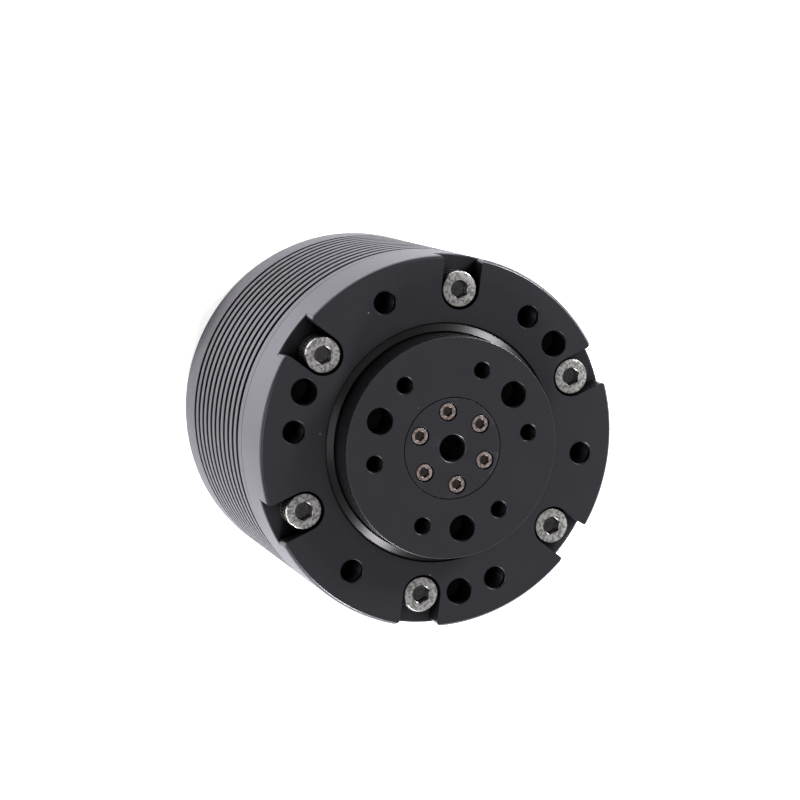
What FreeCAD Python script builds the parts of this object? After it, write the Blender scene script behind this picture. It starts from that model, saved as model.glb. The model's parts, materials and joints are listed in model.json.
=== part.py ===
"""Robot joint actuator: a finned motor housing with a two-stage planetary gearbox.

Frame: millimetres, +Z along the output axis towards the output boss.
Origin: centre of the rear cover's outer face, which the actuator stands on.
Angle 0 (+X) runs through one flange dowel hole and one output dowel hole.
Every radius is stacked outwards from the shaft, and every height forwards from the rear cover.
"""
import FreeCAD
import Part

import math
import os

V = FreeCAD.Vector
ORIGIN = V(0, 0, 0)
Z_AXIS = V(0, 0, 1)
FULL_TURN = 360.0

# --- fits and running gaps -------------------------------------------------
seat_gap = 0.04            # radial gap where a piece is seated in another
shaft_gap = 0.08           # radial running gap of a planet on its pin
side_gap = 0.2             # axial running gap beside a gear or carrier
rolling_gap = 0.06         # gap round a ball or roller in its race
backlash = 0.1             # thinning of each tooth at the pitch circle
overshoot = 0.5            # how far a cutting tool stands clear of the face it enters

# --- gear train ------------------------------------------------------------
gear_module = 0.6
pressure_angle = 20.0
ring_teeth = 60
first_sun_teeth = 24
second_sun_teeth = 30
planet_count = 3
tooth_addendum = 1.0       # in modules
tooth_dedendum = 1.25      # in modules
ring_addendum = 0.75       # in modules, short so that the ring clears the planet roots
ring_rim = 1.75
first_face_width = 3.2
second_face_width = 4.0
carrier_thickness = 1.4
carrier_gap = 0.3          # between the first carrier and the second planets
carrier_lip = 0.35         # radial gap between a carrier and the ring gear's tooth tips
first_pin_radius = 1.5
second_pin_radius = 1.75
second_pin_grip = 2.5      # depth of the second-stage pins in the output flange
second_sun_bore = 6.0
carrier_bore = 3.0
plate_bore = 7.0
plate_screw_circle = 8.5
plate_screw_length = 4.0

# --- output bearing and output flange --------------------------------------
bearing_section = 4.5      # radial height of the crossed roller bearing
bearing_width = 4.4
roller_diameter = 2.0
roller_count = 24
roller_cage_thickness = 0.4
roller_cage_width = 3.6
race_land_gap = 0.6        # radial gap between the two rings beside the rollers
output_shoulder = 0.5      # step that the bearing's inner ring rests on
boss_height = 4.7          # output face above the mounting flange
boss_chamfer = 0.3
boss_hole_edge = 4.3       # from the boss rim in to its hole circle
output_thread_bore = 1.25  # M3 tapped holes
output_thread_depth = 6.0
output_dowel_bore = 2.0
output_dowel_depth = 5.0
output_thread_count = 6
dowel_count = 3
cavity_radius = 3.5
cap_radius = 7.5
cap_thickness = 2.5
cap_bore = 2.0
cap_gap = 0.06
cap_head_gap = 0.12        # round each cap screw's head
cap_screw_circle = 5.5
cap_screw_count = 6
cap_head_recess = 0.15
cap_screw_length = 3.0

# --- dust seal in the flange bore ------------------------------------------
seal_shoulder = 1.6        # front housing material between bearing and seal
race_relief = 0.4          # housing step over the bearing's turning inner ring
seal_depth = 3.1           # depth of the seal's bore below the mounting face
seal_step = 0.5            # radial step that the seal rests on
seal_recess = 0.2          # seal face below the mounting face
annular_gap = 1.5          # between the boss and the flange bore
seal_running_gap = 0.25
seal_wall = 0.5
seal_face_thickness = 0.8
seal_lip_gap = 0.12

# --- flange interface and screws -------------------------------------------
screw_web = 1.0            # wall between the ring gear seat and the flange screws
flange_edge = 5.0          # from the flange hole circle out to the rim
flange_screw_count = 6
flange_screw_length = 12.0
flange_screw_turn = 15.0   # angle from a dowel hole to the nearest screw, and to the nearest thread
flange_thread_bore = 1.7  # M4 tapped holes
flange_thread_depth = 7.0
flange_dowel_bore = 2.0
flange_dowel_depth = 5.0
thread_chamfer = 0.3
notch_clearance = 0.25
notch_corner = 0.8
head_recess = 0.3          # screw head below the mounting face
flange_chamfer = 0.4
ring_pilot = 0.5           # how far the ring gear reaches past the seam
seam_bevel = 0.12

# --- fins ------------------------------------------------------------------
groove_pitch = 2.4
groove_width = 1.0
groove_depth = 1.2
rear_band = 5.6            # plain band behind the fins
rear_edge_round = 0.6

# --- motor -----------------------------------------------------------------
shaft_radius = 5.0
shaft_shoulder = 0.8
spigot_radius = 4.0
rotor_bearing_section = 2.5
rotor_bearing_width = 4.0
ball_diameter = 1.6
ball_count = 8
ball_cage_thickness = 0.5
ball_cage_width = 2.4
bearing_boss_wall = 1.4
bearing_lip = 0.5
bearing_lip_height = 1.1
hub_gap = 0.5
hub_rim = 1.5
hub_web = 2.0
back_iron = 1.45
magnet_thickness = 1.25
magnet_count = 14
magnet_spacing = 0.6
air_gap = 0.4
core_length = 8.6
shoe_height = 0.9
tooth_length = 4.4
tooth_width = 3.0
yoke_thickness = 2.56
slot_count = 12
slot_opening = 1.5
coil_thickness = 2.0
coil_gap = 0.12
winding_overhang = 1.5
winding_gap = 0.4
web_thickness = 1.2

# --- rear: end plate, electronics, cover -----------------------------------
end_plate_thickness = 1.4
end_screw_wall = 0.8
end_screw_count = 4
end_screw_length = 5.0
end_screw_land = 0.3
rear_wall = 2.6
post_radius = 1.9
post_inset = 1.2
post_count = 4
board_clearance = 0.4
board_thickness = 1.2
board_bay = 2.4            # space between the cover and the board
standoff_length = 1.8
standoff_radius = 2.0
standoff_inset = 3.5
board_screw_length = 4.2
cover_thickness = 2.0
cover_gap = 0.08
cover_edge = 0.4
cover_screw_length = 5.0
encoder_magnet_radius = 3.0
encoder_magnet_length = 2.0
encoder_gap = 0.6
shaft_end_gap = 0.3
socket_circle = 11.0
socket_recess = 0.4
socket_clearance = 0.2
socket_wall = 0.8
socket_height = 6.0        # through the board, so that a plug goes in to its full depth
power_socket_size = (12.0, 6.6)
signal_socket_size = (8.6, 6.2)
contact_thickness = 0.3
contact_length = 4.4
power_contact_width = 3.6
signal_contact_width = 0.8
signal_contact_spacing = 1.6
signal_contact_count = 3
lead_radius = 0.6
lead_hole_gap = 0.4
lead_spread = 30.0
transistor_size = 3.2
transistor_height = 0.9
transistor_circle = 15.0
transistor_angle = 18.0
controller_size = 7.0
controller_height = 1.0
capacitor_radius = 1.6
capacitor_height = 1.8
capacitor_place = (8.0, 5.0)
encoder_chip_size = (4.0, 5.0)
encoder_chip_height = 0.9

# --- screws: shank radius, head radius, head height, hex across flats ------
M3 = dict(shank=1.5, head=2.75, height=3.0, hex=2.5)
M2 = dict(shank=1.0, head=1.9, height=1.3, hex=1.5)
M1_6 = dict(shank=0.8, head=1.5, height=1.6, hex=1.5)
M1_4 = dict(shank=0.7, head=1.3, height=1.4, hex=1.3)
FLAT_M2 = dict(shank=1.0, head=1.9, height=0.9, hex=1.3)
socket_depth_share = 0.6   # hex socket depth as a share of the head
head_chamfer_share = 0.1   # edge chamfer as a share of the head radius

# --- radii worked out from the values above --------------------------------
ring_pitch_r = gear_module * ring_teeth / 2
ring_root_r = ring_pitch_r + tooth_dedendum * gear_module
ring_tip_r = ring_pitch_r - ring_addendum * gear_module
ring_outer_r = ring_root_r + ring_rim
first_planet_teeth = (ring_teeth - first_sun_teeth) // 2
second_planet_teeth = (ring_teeth - second_sun_teeth) // 2
first_orbit_r = gear_module * (first_sun_teeth + first_planet_teeth) / 2
second_orbit_r = gear_module * (second_sun_teeth + second_planet_teeth) / 2
carrier_r = ring_tip_r - carrier_lip

bearing_bore_r = ring_outer_r - bearing_section
roller_orbit_r = (bearing_bore_r + ring_outer_r) / 2
boss_r = bearing_bore_r + output_shoulder
boss_hole_r = boss_r - boss_hole_edge
flange_bore_r = boss_r + annular_gap
flange_hole_r = ring_outer_r + screw_web + M3["shank"]

rotor_bearing_r = shaft_radius + rotor_bearing_section
bearing_boss_r = rotor_bearing_r + bearing_boss_wall
hub_rim_in = bearing_boss_r + hub_gap
hub_rim_out = hub_rim_in + hub_rim
back_iron_r = hub_rim_out + back_iron
magnet_r = back_iron_r + magnet_thickness
stator_in_r = magnet_r + air_gap
tooth_base_r = stator_in_r + shoe_height
yoke_in_r = tooth_base_r + tooth_length
stator_r = yoke_in_r + yoke_thickness
lead_circle_r = (tooth_base_r + yoke_in_r) / 2

end_screw_r = stator_r + end_screw_wall + M1_6["shank"]
bay_r = end_screw_r + M1_6["head"] + end_screw_land
body_r = max(flange_hole_r + flange_edge, bay_r + rear_wall)
end_plate_r = bay_r - seat_gap
post_circle_r = bay_r - post_inset - post_radius
board_r = post_circle_r - post_radius - board_clearance
standoff_circle_r = board_r - standoff_inset

# --- heights worked out from the values above ------------------------------
board_z = cover_thickness + board_bay
board_front_z = board_z + board_thickness
end_plate_z = board_front_z + standoff_length
end_plate_front_z = end_plate_z + end_plate_thickness
core_z = end_plate_front_z + winding_gap + winding_overhang
core_front_z = core_z + core_length
web_z = core_front_z + winding_overhang + winding_gap
web_front_z = web_z + web_thickness
first_planet_z = web_front_z + 2 * side_gap
first_sun_z = web_front_z + side_gap
first_sun_front_z = first_planet_z + first_face_width
first_carrier_z = first_sun_front_z + side_gap
first_carrier_front_z = first_carrier_z + carrier_thickness
second_planet_z = first_carrier_front_z + carrier_gap
second_sun_front_z = second_planet_z + second_face_width
plate_z = second_sun_front_z + side_gap
bearing_z = plate_z + carrier_thickness
bearing_front_z = bearing_z + bearing_width
seam_z = bearing_z - ring_pilot
seal_seat_z = bearing_front_z + seal_shoulder
face_z = seal_seat_z + seal_depth
boss_z = face_z + boss_height
cap_seat_z = boss_z - cap_head_recess - M1_4["height"]
notch_z = face_z - head_recess - M3["height"]
rear_bearing_z = end_plate_z + bearing_lip
front_bearing_z = web_front_z - bearing_lip - rotor_bearing_width
hub_mid_z = (core_z + core_front_z) / 2
shaft_end_z = rear_bearing_z - shaft_end_gap
encoder_magnet_z = board_front_z + encoder_chip_height + encoder_gap


# --- small building blocks -------------------------------------------------
def turned(outline):
    """Solid of revolution about Z from (radius, height) corners."""
    points = [V(r, 0, z) for r, z in outline]
    profile = Part.makePolygon(points + points[:1])
    return Part.Face(profile).revolve(ORIGIN, Z_AXIS, FULL_TURN)


def tube(outer, inner, low, high):
    """Plain ring between two radii and two heights."""
    return turned([(inner, low), (outer, low), (outer, high), (inner, high)])


def rod(radius, low, high):
    """Plain round bar on the Z axis."""
    return Part.makeCylinder(radius, high - low, V(0, 0, low))


def block(size_x, size_y, low, high):
    """Upright block centred on the Z axis."""
    return Part.makeBox(size_x, size_y, high - low, V(-size_x / 2, -size_y / 2, low))


def placed(shape, radius, angle=0.0):
    """Copy of a shape moved out along X by the radius and then turned about Z."""
    copy = shape.copy()
    copy.translate(V(radius, 0, 0))
    copy.rotate(ORIGIN, Z_AXIS, angle)
    return copy


def around(shape, radius, count, first=0.0):
    """Evenly spaced copies of a shape on a circle about Z."""
    return [placed(shape, radius, first + FULL_TURN * i / count) for i in range(count)]


def bored_hole(radius, mouth_z, depth, chamfer=0.0):
    """Tool for a blind hole down from its mouth, with a 45 degree mouth chamfer."""
    top = mouth_z + overshoot
    wide = radius + chamfer + (overshoot if chamfer else 0.0)
    bottom = mouth_z - depth
    return turned([(0, bottom), (radius, bottom), (radius, mouth_z - chamfer), (wide, top), (0, top)])


def hexagon(across_flats, low, high):
    """Upright hexagonal prism on the Z axis."""
    corner = across_flats / math.sqrt(3)
    points = [V(corner * math.cos(math.radians(a)), corner * math.sin(math.radians(a)), low)
              for a in range(0, 361, 60)]
    return Part.Face(Part.makePolygon(points)).extrude(V(0, 0, high - low))


def socket_screw(kind, length, seat_z):
    """Socket head cap screw with its head standing on seat_z and its shank pointing down."""
    head, height, shank = kind["head"], kind["height"], kind["shank"]
    edge = head_chamfer_share * head
    tip = seat_z - length
    body = turned([(0, tip), (shank - edge, tip), (shank, tip + edge), (shank, seat_z), (head, seat_z),
                   (head, seat_z + height - edge), (head - edge, seat_z + height), (0, seat_z + height)])
    depth = socket_depth_share * height
    return body.cut(hexagon(kind["hex"], seat_z + height - depth, seat_z + height + overshoot))


def flat_screw(kind, length, top_z):
    """Countersunk socket screw with its head flush at top_z and its shank pointing down."""
    head, height, shank = kind["head"], kind["height"], kind["shank"]
    body = turned([(0, top_z - length), (shank, top_z - length), (shank, top_z - height),
                   (head, top_z), (0, top_z)])
    depth = socket_depth_share * height
    return body.cut(hexagon(kind["hex"], top_z - depth, top_z + overshoot))


def countersink(kind, top_z, depth):
    """Tool for the hole and cone of a flat_screw whose head is flush at top_z."""
    bore, wide = kind["shank"] + seat_gap, kind["head"] + seat_gap
    cone_z = top_z - kind["height"]
    return turned([(0, top_z - depth), (bore, top_z - depth), (bore, cone_z), (wide, top_z),
                   (wide, top_z + overshoot), (0, top_z + overshoot)])


def upside_down(shape, about_z):
    """Copy of a shape turned over about a height on the Z axis."""
    copy = shape.copy()
    copy.rotate(V(0, 0, about_z), V(1, 0, 0), 180)
    return copy


# --- gear teeth ------------------------------------------------------------
def involute(angle):
    """Involute function of a pressure angle in radians."""
    return math.tan(angle) - angle


def tooth_outline(teeth, tip_r, root_r, thickening):
    """Closed wire of involute teeth, each thicker at the pitch circle by the given amount."""
    pitch_r = gear_module * teeth / 2
    pressure = math.radians(pressure_angle)
    base_r = pitch_r * math.cos(pressure)
    start_r = max(root_r, base_r)
    half_at_pitch = math.pi / (2 * teeth) + thickening / (2 * pitch_r)

    def half_angle(radius):
        return half_at_pitch + involute(pressure) - involute(math.acos(min(1.0, base_r / radius)))

    def at(radius, tooth, offset):
        angle = 2 * math.pi * (tooth % teeth) / teeth + offset
        return V(radius * math.cos(angle), radius * math.sin(angle), 0)

    start, tip = half_angle(start_r), half_angle(tip_r)
    middle_r = (start_r + tip_r) / 2
    middle = half_angle(middle_r)
    edges = []
    for tooth in range(teeth):
        rising = [at(start_r, tooth, -start), at(middle_r, tooth, -middle), at(tip_r, tooth, -tip)]
        falling = [at(tip_r, tooth, tip), at(middle_r, tooth, middle), at(start_r, tooth, start)]
        if root_r < base_r:
            edges.append(Part.makeLine(at(root_r, tooth, -start), rising[0]))
        edges.append(Part.Arc(*rising).toShape())
        edges.append(Part.makeLine(rising[2], falling[0]))
        edges.append(Part.Arc(*falling).toShape())
        if root_r < base_r:
            edges.append(Part.makeLine(falling[2], at(root_r, tooth, start)))
        edges.append(Part.makeLine(at(min(root_r, start_r), tooth, start),
                                   at(min(root_r, start_r), tooth + 1, -start)))
    return Part.Wire(edges)


def outer_gear(teeth, bore, low, high):
    """External spur gear with a plain bore and one tooth centred on angle 0."""
    pitch_r = gear_module * teeth / 2
    outline = tooth_outline(teeth, pitch_r + tooth_addendum * gear_module,
                            pitch_r - tooth_dedendum * gear_module, -backlash)
    gear = Part.Face(outline).extrude(V(0, 0, high - low))
    gear.translate(V(0, 0, low))
    return gear.cut(rod(bore, low - overshoot, high + overshoot))


def sun_gear(teeth, planet_teeth, bore, low, high):
    """Sun gear turned so that its teeth fall in the spaces of the planets."""
    gear = outer_gear(teeth, bore, low, high)
    gear.rotate(ORIGIN, Z_AXIS, (planet_teeth + 1) / 2 * FULL_TURN / teeth)
    return gear


# --- ring gear and planet stages -------------------------------------------
def ring_gear():
    """Internal gear clamped between the housing web and the output bearing.

    One tooth space is centred on angle 0, so a planet there points one tooth straight out.
    """
    low, high = web_front_z + seat_gap, bearing_z - seat_gap
    spaces = Part.Face(tooth_outline(ring_teeth, ring_root_r, ring_tip_r, backlash))
    core = spaces.extrude(V(0, 0, high - low + 2 * overshoot))
    core.translate(V(0, 0, low - overshoot))
    return rod(ring_outer_r - seat_gap, low, high).cut(core)


def planets(teeth, orbit_r, pin_r, low, width):
    """Planet gears of one stage, each in mesh at rest.

    The tooth counts of ring and suns divide by the planet count, so all planets stand alike.
    """
    gear = outer_gear(teeth, pin_r + shaft_gap, low, low + width)
    return around(gear, orbit_r, planet_count)


def first_sun():
    """Sun gear pressed on the rotor shaft's spigot."""
    return sun_gear(first_sun_teeth, first_planet_teeth, spigot_radius + seat_gap,
                    first_sun_z + seat_gap, first_sun_front_z)


def second_sun():
    """Sun gear pressed on the first carrier's hub."""
    return sun_gear(second_sun_teeth, second_planet_teeth, second_sun_bore + seat_gap,
                    first_carrier_front_z + seat_gap, second_sun_front_z)


def first_carrier():
    """Disc that carries the first planets on its rear and the second sun on its front hub."""
    body = turned([(carrier_bore, first_carrier_z), (carrier_r, first_carrier_z),
                   (carrier_r, first_carrier_front_z), (second_sun_bore, first_carrier_front_z),
                   (second_sun_bore, second_sun_front_z), (carrier_bore, second_sun_front_z)])
    pin_hole = rod(first_pin_radius + seat_gap, first_carrier_z - overshoot,
                   first_carrier_front_z + overshoot)
    return body.cut(around(pin_hole, first_orbit_r, planet_count))


def first_pins():
    """Pins of the first-stage planets."""
    pin = rod(first_pin_radius, first_planet_z, first_carrier_front_z)
    return around(pin, first_orbit_r, planet_count)


def carrier_plate():
    """Plate that clamps the bearing's inner ring and holds the second-stage pins."""
    body = tube(carrier_r, plate_bore, plate_z, bearing_z)
    pin_hole = rod(second_pin_radius + seat_gap, plate_z - overshoot, bearing_z + overshoot)
    sink = upside_down(countersink(FLAT_M2, plate_z, plate_screw_length), plate_z)
    tools = around(pin_hole, second_orbit_r, planet_count)
    tools += around(sink, plate_screw_circle, planet_count, 180.0 / planet_count)
    return body.cut(tools)


def plate_screws():
    """Countersunk screws that hold the carrier plate to the output flange."""
    screw = upside_down(flat_screw(FLAT_M2, plate_screw_length, plate_z), plate_z)
    return around(screw, plate_screw_circle, planet_count, 180.0 / planet_count)


def second_pins():
    """Pins of the second-stage planets, seated in the plate and the output flange."""
    pin = rod(second_pin_radius, second_planet_z, bearing_z + second_pin_grip)
    return around(pin, second_orbit_r, planet_count)


# --- output bearing --------------------------------------------------------
def race(rim_r, land_r, groove_r):
    """Bearing ring whose 90 degree groove starts at land_r and ends in a point at groove_r."""
    middle = bearing_z + bearing_width / 2
    reach = abs(land_r - groove_r)
    return turned([(rim_r, bearing_z), (land_r, bearing_z), (land_r, middle - reach), (groove_r, middle),
                   (land_r, middle + reach), (land_r, bearing_front_z), (rim_r, bearing_front_z)])


def output_races():
    """Inner and outer ring of the crossed roller bearing."""
    groove = (roller_diameter / 2 + rolling_gap) * math.sqrt(2)
    half_gap = race_land_gap / 2
    inner = race(bearing_bore_r + seat_gap, roller_orbit_r - half_gap, roller_orbit_r - groove)
    outer = race(ring_outer_r - seat_gap, roller_orbit_r + half_gap, roller_orbit_r + groove)
    return inner, outer


def output_rollers():
    """Rollers of the output bearing, leaning in and out by turns."""
    half_length = roller_diameter / 2 - rolling_gap
    rollers = []
    for i in range(roller_count):
        lean = 45.0 if i % 2 else -45.0
        roller = rod(roller_diameter / 2, -half_length, half_length)
        roller.rotate(ORIGIN, V(0, 1, 0), lean)
        roller.translate(V(0, 0, bearing_z + bearing_width / 2))
        rollers.append(placed(roller, roller_orbit_r, FULL_TURN * i / roller_count))
    return rollers


def output_cage():
    """Thin ring between the races with one window for each roller."""
    middle = bearing_z + bearing_width / 2
    half_wall, half_width = roller_cage_thickness / 2, roller_cage_width / 2
    cage = tube(roller_orbit_r + half_wall, roller_orbit_r - half_wall,
                middle - half_width, middle + half_width)
    reach = roller_diameter / math.sqrt(2) + rolling_gap
    window = block(2 * race_land_gap, roller_diameter + 2 * rolling_gap, middle - reach, middle + reach)
    return cage.cut(around(window, roller_orbit_r, roller_count))


# --- output flange and cap -------------------------------------------------
def output_flange():
    """Output boss with its threads, dowel holes, cap recess and bearing seat."""
    recess_z = boss_z - cap_thickness
    body = turned([(cavity_radius, bearing_z + seat_gap), (bearing_bore_r, bearing_z + seat_gap),
                   (bearing_bore_r, bearing_front_z), (boss_r, bearing_front_z),
                   (boss_r, boss_z - boss_chamfer), (boss_r - boss_chamfer, boss_z),
                   (cap_radius + cap_gap, boss_z), (cap_radius + cap_gap, recess_z),
                   (cavity_radius, recess_z)])
    thread = bored_hole(output_thread_bore, boss_z, output_thread_depth, thread_chamfer)
    dowel = bored_hole(output_dowel_bore, boss_z, output_dowel_depth)
    cap_tip_z = cap_seat_z - cap_screw_length
    cap_thread = bored_hole(M1_4["shank"] + seat_gap, recess_z, recess_z - cap_tip_z + seat_gap)
    pin_seat = rod(second_pin_radius + seat_gap, bearing_z - overshoot,
                   bearing_z + second_pin_grip + seat_gap)
    plate_thread = rod(FLAT_M2["shank"] + seat_gap, bearing_z - overshoot,
                       plate_z + plate_screw_length + seat_gap)
    tools = around(thread, boss_hole_r, output_thread_count, 180.0 / output_thread_count)
    tools += around(dowel, boss_hole_r, dowel_count)
    tools += around(cap_thread, cap_screw_circle, cap_screw_count)
    tools += around(pin_seat, second_orbit_r, planet_count)
    tools += around(plate_thread, plate_screw_circle, planet_count, 180.0 / planet_count)
    return body.cut(tools)


def centre_cap():
    """Round cap, flush in the output face, with a chamfered centre hole."""
    low = boss_z - cap_thickness + seat_gap
    edge = thread_chamfer
    body = turned([(cap_bore, low), (cap_radius, low), (cap_radius, boss_z), (cap_bore + edge, boss_z),
                   (cap_bore, boss_z - edge)])
    tool = rod(M1_4["shank"] + seat_gap, low - overshoot, boss_z + overshoot)
    tool = tool.fuse(rod(M1_4["head"] + cap_head_gap, cap_seat_z, boss_z + overshoot))
    return body.cut(around(tool, cap_screw_circle, cap_screw_count))


def cap_screws():
    """Small screws that hold the cap."""
    screw = socket_screw(M1_4, cap_screw_length, cap_seat_z)
    return around(screw, cap_screw_circle, cap_screw_count)


# --- front housing ---------------------------------------------------------
def notch_tool():
    """Open notch for one screw head: round end, parallel walls and rounded rim corners."""
    half = M3["head"] + notch_clearance
    corner_x = math.sqrt((body_r - notch_corner) ** 2 - (half + notch_corner) ** 2)
    spread = body_r / (body_r - notch_corner)
    rim = V(corner_x * spread, (half + notch_corner) * spread, 0)
    lean = math.atan2(rim.y, rim.x)
    far = body_r + 2 * overshoot
    middle_angle = (lean - math.pi / 2) / 2
    on_corner = V(corner_x + notch_corner * math.cos(middle_angle),
                  half + notch_corner + notch_corner * math.sin(middle_angle), 0)
    out = V(far * math.cos(lean), far * math.sin(lean), 0)

    def mirrored(point):
        return V(point.x, -point.y, 0)

    wall_in, wall_out = V(flange_hole_r, half, 0), V(corner_x, half, 0)
    beyond = V(far + half, 0, 0)
    edges = [
        Part.Arc(wall_in, V(flange_hole_r - half, 0, 0), mirrored(wall_in)).toShape(),
        Part.makeLine(mirrored(wall_in), mirrored(wall_out)),
        Part.Arc(mirrored(wall_out), mirrored(on_corner), mirrored(rim)).toShape(),
        Part.makeLine(mirrored(rim), mirrored(out)),
        Part.makeLine(mirrored(out), beyond),
        Part.makeLine(beyond, out),
        Part.makeLine(out, rim),
        Part.Arc(rim, on_corner, wall_out).toShape(),
        Part.makeLine(wall_out, wall_in),
    ]
    tool = Part.Face(Part.Wire(edges)).extrude(V(0, 0, face_z - notch_z + overshoot))
    tool.translate(V(0, 0, notch_z))
    return tool


def front_housing():
    """Mounting flange that holds the output bearing and the seal."""
    relief_z = bearing_front_z + race_relief
    relief_r = roller_orbit_r + race_land_gap / 2
    body = turned([(ring_outer_r, seam_z), (body_r - seam_bevel, seam_z), (body_r, seam_z + seam_bevel),
                   (body_r, face_z - flange_chamfer), (body_r - flange_chamfer, face_z),
                   (flange_bore_r, face_z), (flange_bore_r, seal_seat_z),
                   (flange_bore_r - seal_step, seal_seat_z), (flange_bore_r - seal_step, relief_z),
                   (relief_r, relief_z), (relief_r, bearing_front_z), (ring_outer_r, bearing_front_z)])
    screw_hole = rod(M3["shank"] + seat_gap, seam_z - overshoot, notch_z + overshoot)
    thread = bored_hole(flange_thread_bore, face_z, flange_thread_depth, thread_chamfer)
    dowel = bored_hole(flange_dowel_bore, face_z, flange_dowel_depth)
    tools = around(notch_tool(), 0.0, flange_screw_count, -flange_screw_turn)
    tools += around(screw_hole, flange_hole_r, flange_screw_count, -flange_screw_turn)
    tools += around(thread, flange_hole_r, flange_screw_count, flange_screw_turn)
    tools += around(dowel, flange_hole_r, dowel_count)
    return body.cut(tools)


def flange_screws():
    """Socket head screws that hold the front housing to the finned housing."""
    screw = socket_screw(M3, flange_screw_length, notch_z)
    return around(screw, flange_hole_r, flange_screw_count, -flange_screw_turn)


def seal_case():
    """Turned metal case of the dust seal, seen as a narrow ring round the boss."""
    outer = flange_bore_r - seat_gap
    inner = boss_r + seal_running_gap
    top = face_z - seal_recess
    under = top - seal_face_thickness
    edge = seal_recess
    return turned([(outer - seal_wall, seal_seat_z + seat_gap), (outer, seal_seat_z + seat_gap),
                   (outer, top - edge), (outer - edge, top), (inner, top), (inner, under),
                   (outer - seal_wall, under)])


def seal_lip():
    """Rubber lip inside the seal case, just clear of the turning boss."""
    outer = flange_bore_r - seat_gap - seal_wall - seat_gap
    inner = boss_r + seal_lip_gap
    top = face_z - seal_recess - seal_face_thickness - seat_gap
    low = seal_seat_z + seat_gap
    slim = (outer + inner) / 2
    return turned([(slim, low), (outer, low), (outer, top), (inner, top), (inner, top - seal_wall),
                   (slim, top - 2 * seal_wall)])


# --- finned housing --------------------------------------------------------
def groove_count():
    """Grooves that fit between the seam and the plain rear band."""
    return int((seam_z - rear_band) / groove_pitch)


def finned_housing():
    """Rear housing: fins outside, ring gear seat in front, stator and electronics behind."""
    half = groove_width / 2
    bottom = body_r - groove_depth
    outside = [(body_r - rear_edge_round, 0), (body_r, rear_edge_round)]
    for i in range(groove_count(), 0, -1):
        middle = seam_z - i * groove_pitch
        outside += [(body_r, middle - half), (bottom, middle - half),
                    (bottom, middle + half), (body_r, middle + half)]
    outside += [(body_r, seam_z - seam_bevel), (body_r - seam_bevel, seam_z)]
    boss_low = front_bearing_z
    lip_z = web_front_z - bearing_lip
    inside = [(ring_outer_r, seam_z), (ring_outer_r, web_front_z),
              (rotor_bearing_r - bearing_lip_height, web_front_z),
              (rotor_bearing_r - bearing_lip_height, lip_z), (rotor_bearing_r, lip_z),
              (rotor_bearing_r, boss_low), (bearing_boss_r, boss_low), (bearing_boss_r, web_z),
              (stator_r, web_z), (stator_r, end_plate_front_z), (bay_r, end_plate_front_z), (bay_r, 0)]
    body = turned(outside + inside)
    flange_depth = flange_screw_length - (notch_z - seam_z) + seat_gap
    flange_thread = bored_hole(M3["shank"] + seat_gap, seam_z, flange_depth)
    end_depth = end_screw_length - end_plate_thickness + seat_gap
    end_thread = rod(M1_6["shank"] + seat_gap, end_plate_front_z - overshoot, end_plate_front_z + end_depth)
    tools = around(flange_thread, flange_hole_r, flange_screw_count, -flange_screw_turn)
    tools += around(end_thread, end_screw_r, end_screw_count)
    return body.cut(tools)


# --- rotor -----------------------------------------------------------------
def rotor_hub():
    """Shaft, web and rim that carry the magnets, turned in one piece."""
    shoulder = shaft_radius + shaft_shoulder
    rear, front = rear_bearing_z + rotor_bearing_width, front_bearing_z
    web_low, web_high = hub_mid_z - hub_web / 2, hub_mid_z + hub_web / 2
    pocket_r = encoder_magnet_radius + seat_gap
    pocket_z = encoder_magnet_z + encoder_magnet_length + seat_gap
    return turned([(pocket_r, shaft_end_z), (shaft_radius, shaft_end_z), (shaft_radius, rear),
                   (shoulder, rear), (shoulder, web_low), (hub_rim_in, web_low), (hub_rim_in, core_z),
                   (hub_rim_out, core_z), (hub_rim_out, core_front_z), (hub_rim_in, core_front_z),
                   (hub_rim_in, web_high), (shoulder, web_high), (shoulder, front), (shaft_radius, front),
                   (shaft_radius, first_sun_z), (spigot_radius, first_sun_z),
                   (spigot_radius, first_sun_front_z), (0, first_sun_front_z),
                   (0, pocket_z), (pocket_r, pocket_z)])


def rotor_back_iron():
    """Steel ring behind the magnets."""
    return tube(back_iron_r - seat_gap, hub_rim_out + seat_gap, core_z, core_front_z)


def rotor_magnets():
    """Arc magnets spaced evenly round the back iron."""
    ring = tube(magnet_r, back_iron_r, core_z, core_front_z)
    gap = block(magnet_r, magnet_spacing, core_z - overshoot, core_front_z + overshoot)
    segments = ring.cut(around(gap, magnet_r, magnet_count))
    return segments.Solids


def encoder_magnet():
    """Round magnet in the shaft end that the encoder chip reads."""
    return rod(encoder_magnet_radius, encoder_magnet_z, encoder_magnet_z + encoder_magnet_length)


def rotor_bearing(low):
    """Inner ring, outer ring, balls and ball cage of one deep-groove ball bearing."""
    high = low + rotor_bearing_width
    middle = (low + high) / 2
    orbit_r = (shaft_radius + rotor_bearing_r) / 2
    land = ball_diameter / 4
    groove = Part.makeTorus(orbit_r, ball_diameter / 2 + rolling_gap, V(0, 0, middle), Z_AXIS)
    inner = tube(orbit_r - land, shaft_radius + seat_gap, low, high).cut(groove)
    outer = tube(rotor_bearing_r - seat_gap, orbit_r + land, low, high).cut(groove)
    ball = Part.makeSphere(ball_diameter / 2, V(0, 0, middle))
    half_wall, half_width = ball_cage_thickness / 2, ball_cage_width / 2
    cage = tube(orbit_r + half_wall, orbit_r - half_wall, middle - half_width, middle + half_width)
    pocket = Part.makeCylinder(ball_diameter / 2 + rolling_gap, 2 * half_width,
                               V(-half_width, 0, middle), V(1, 0, 0))
    cage = cage.cut(around(pocket, orbit_r, ball_count))
    return inner, outer, around(ball, orbit_r, ball_count), cage


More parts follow.
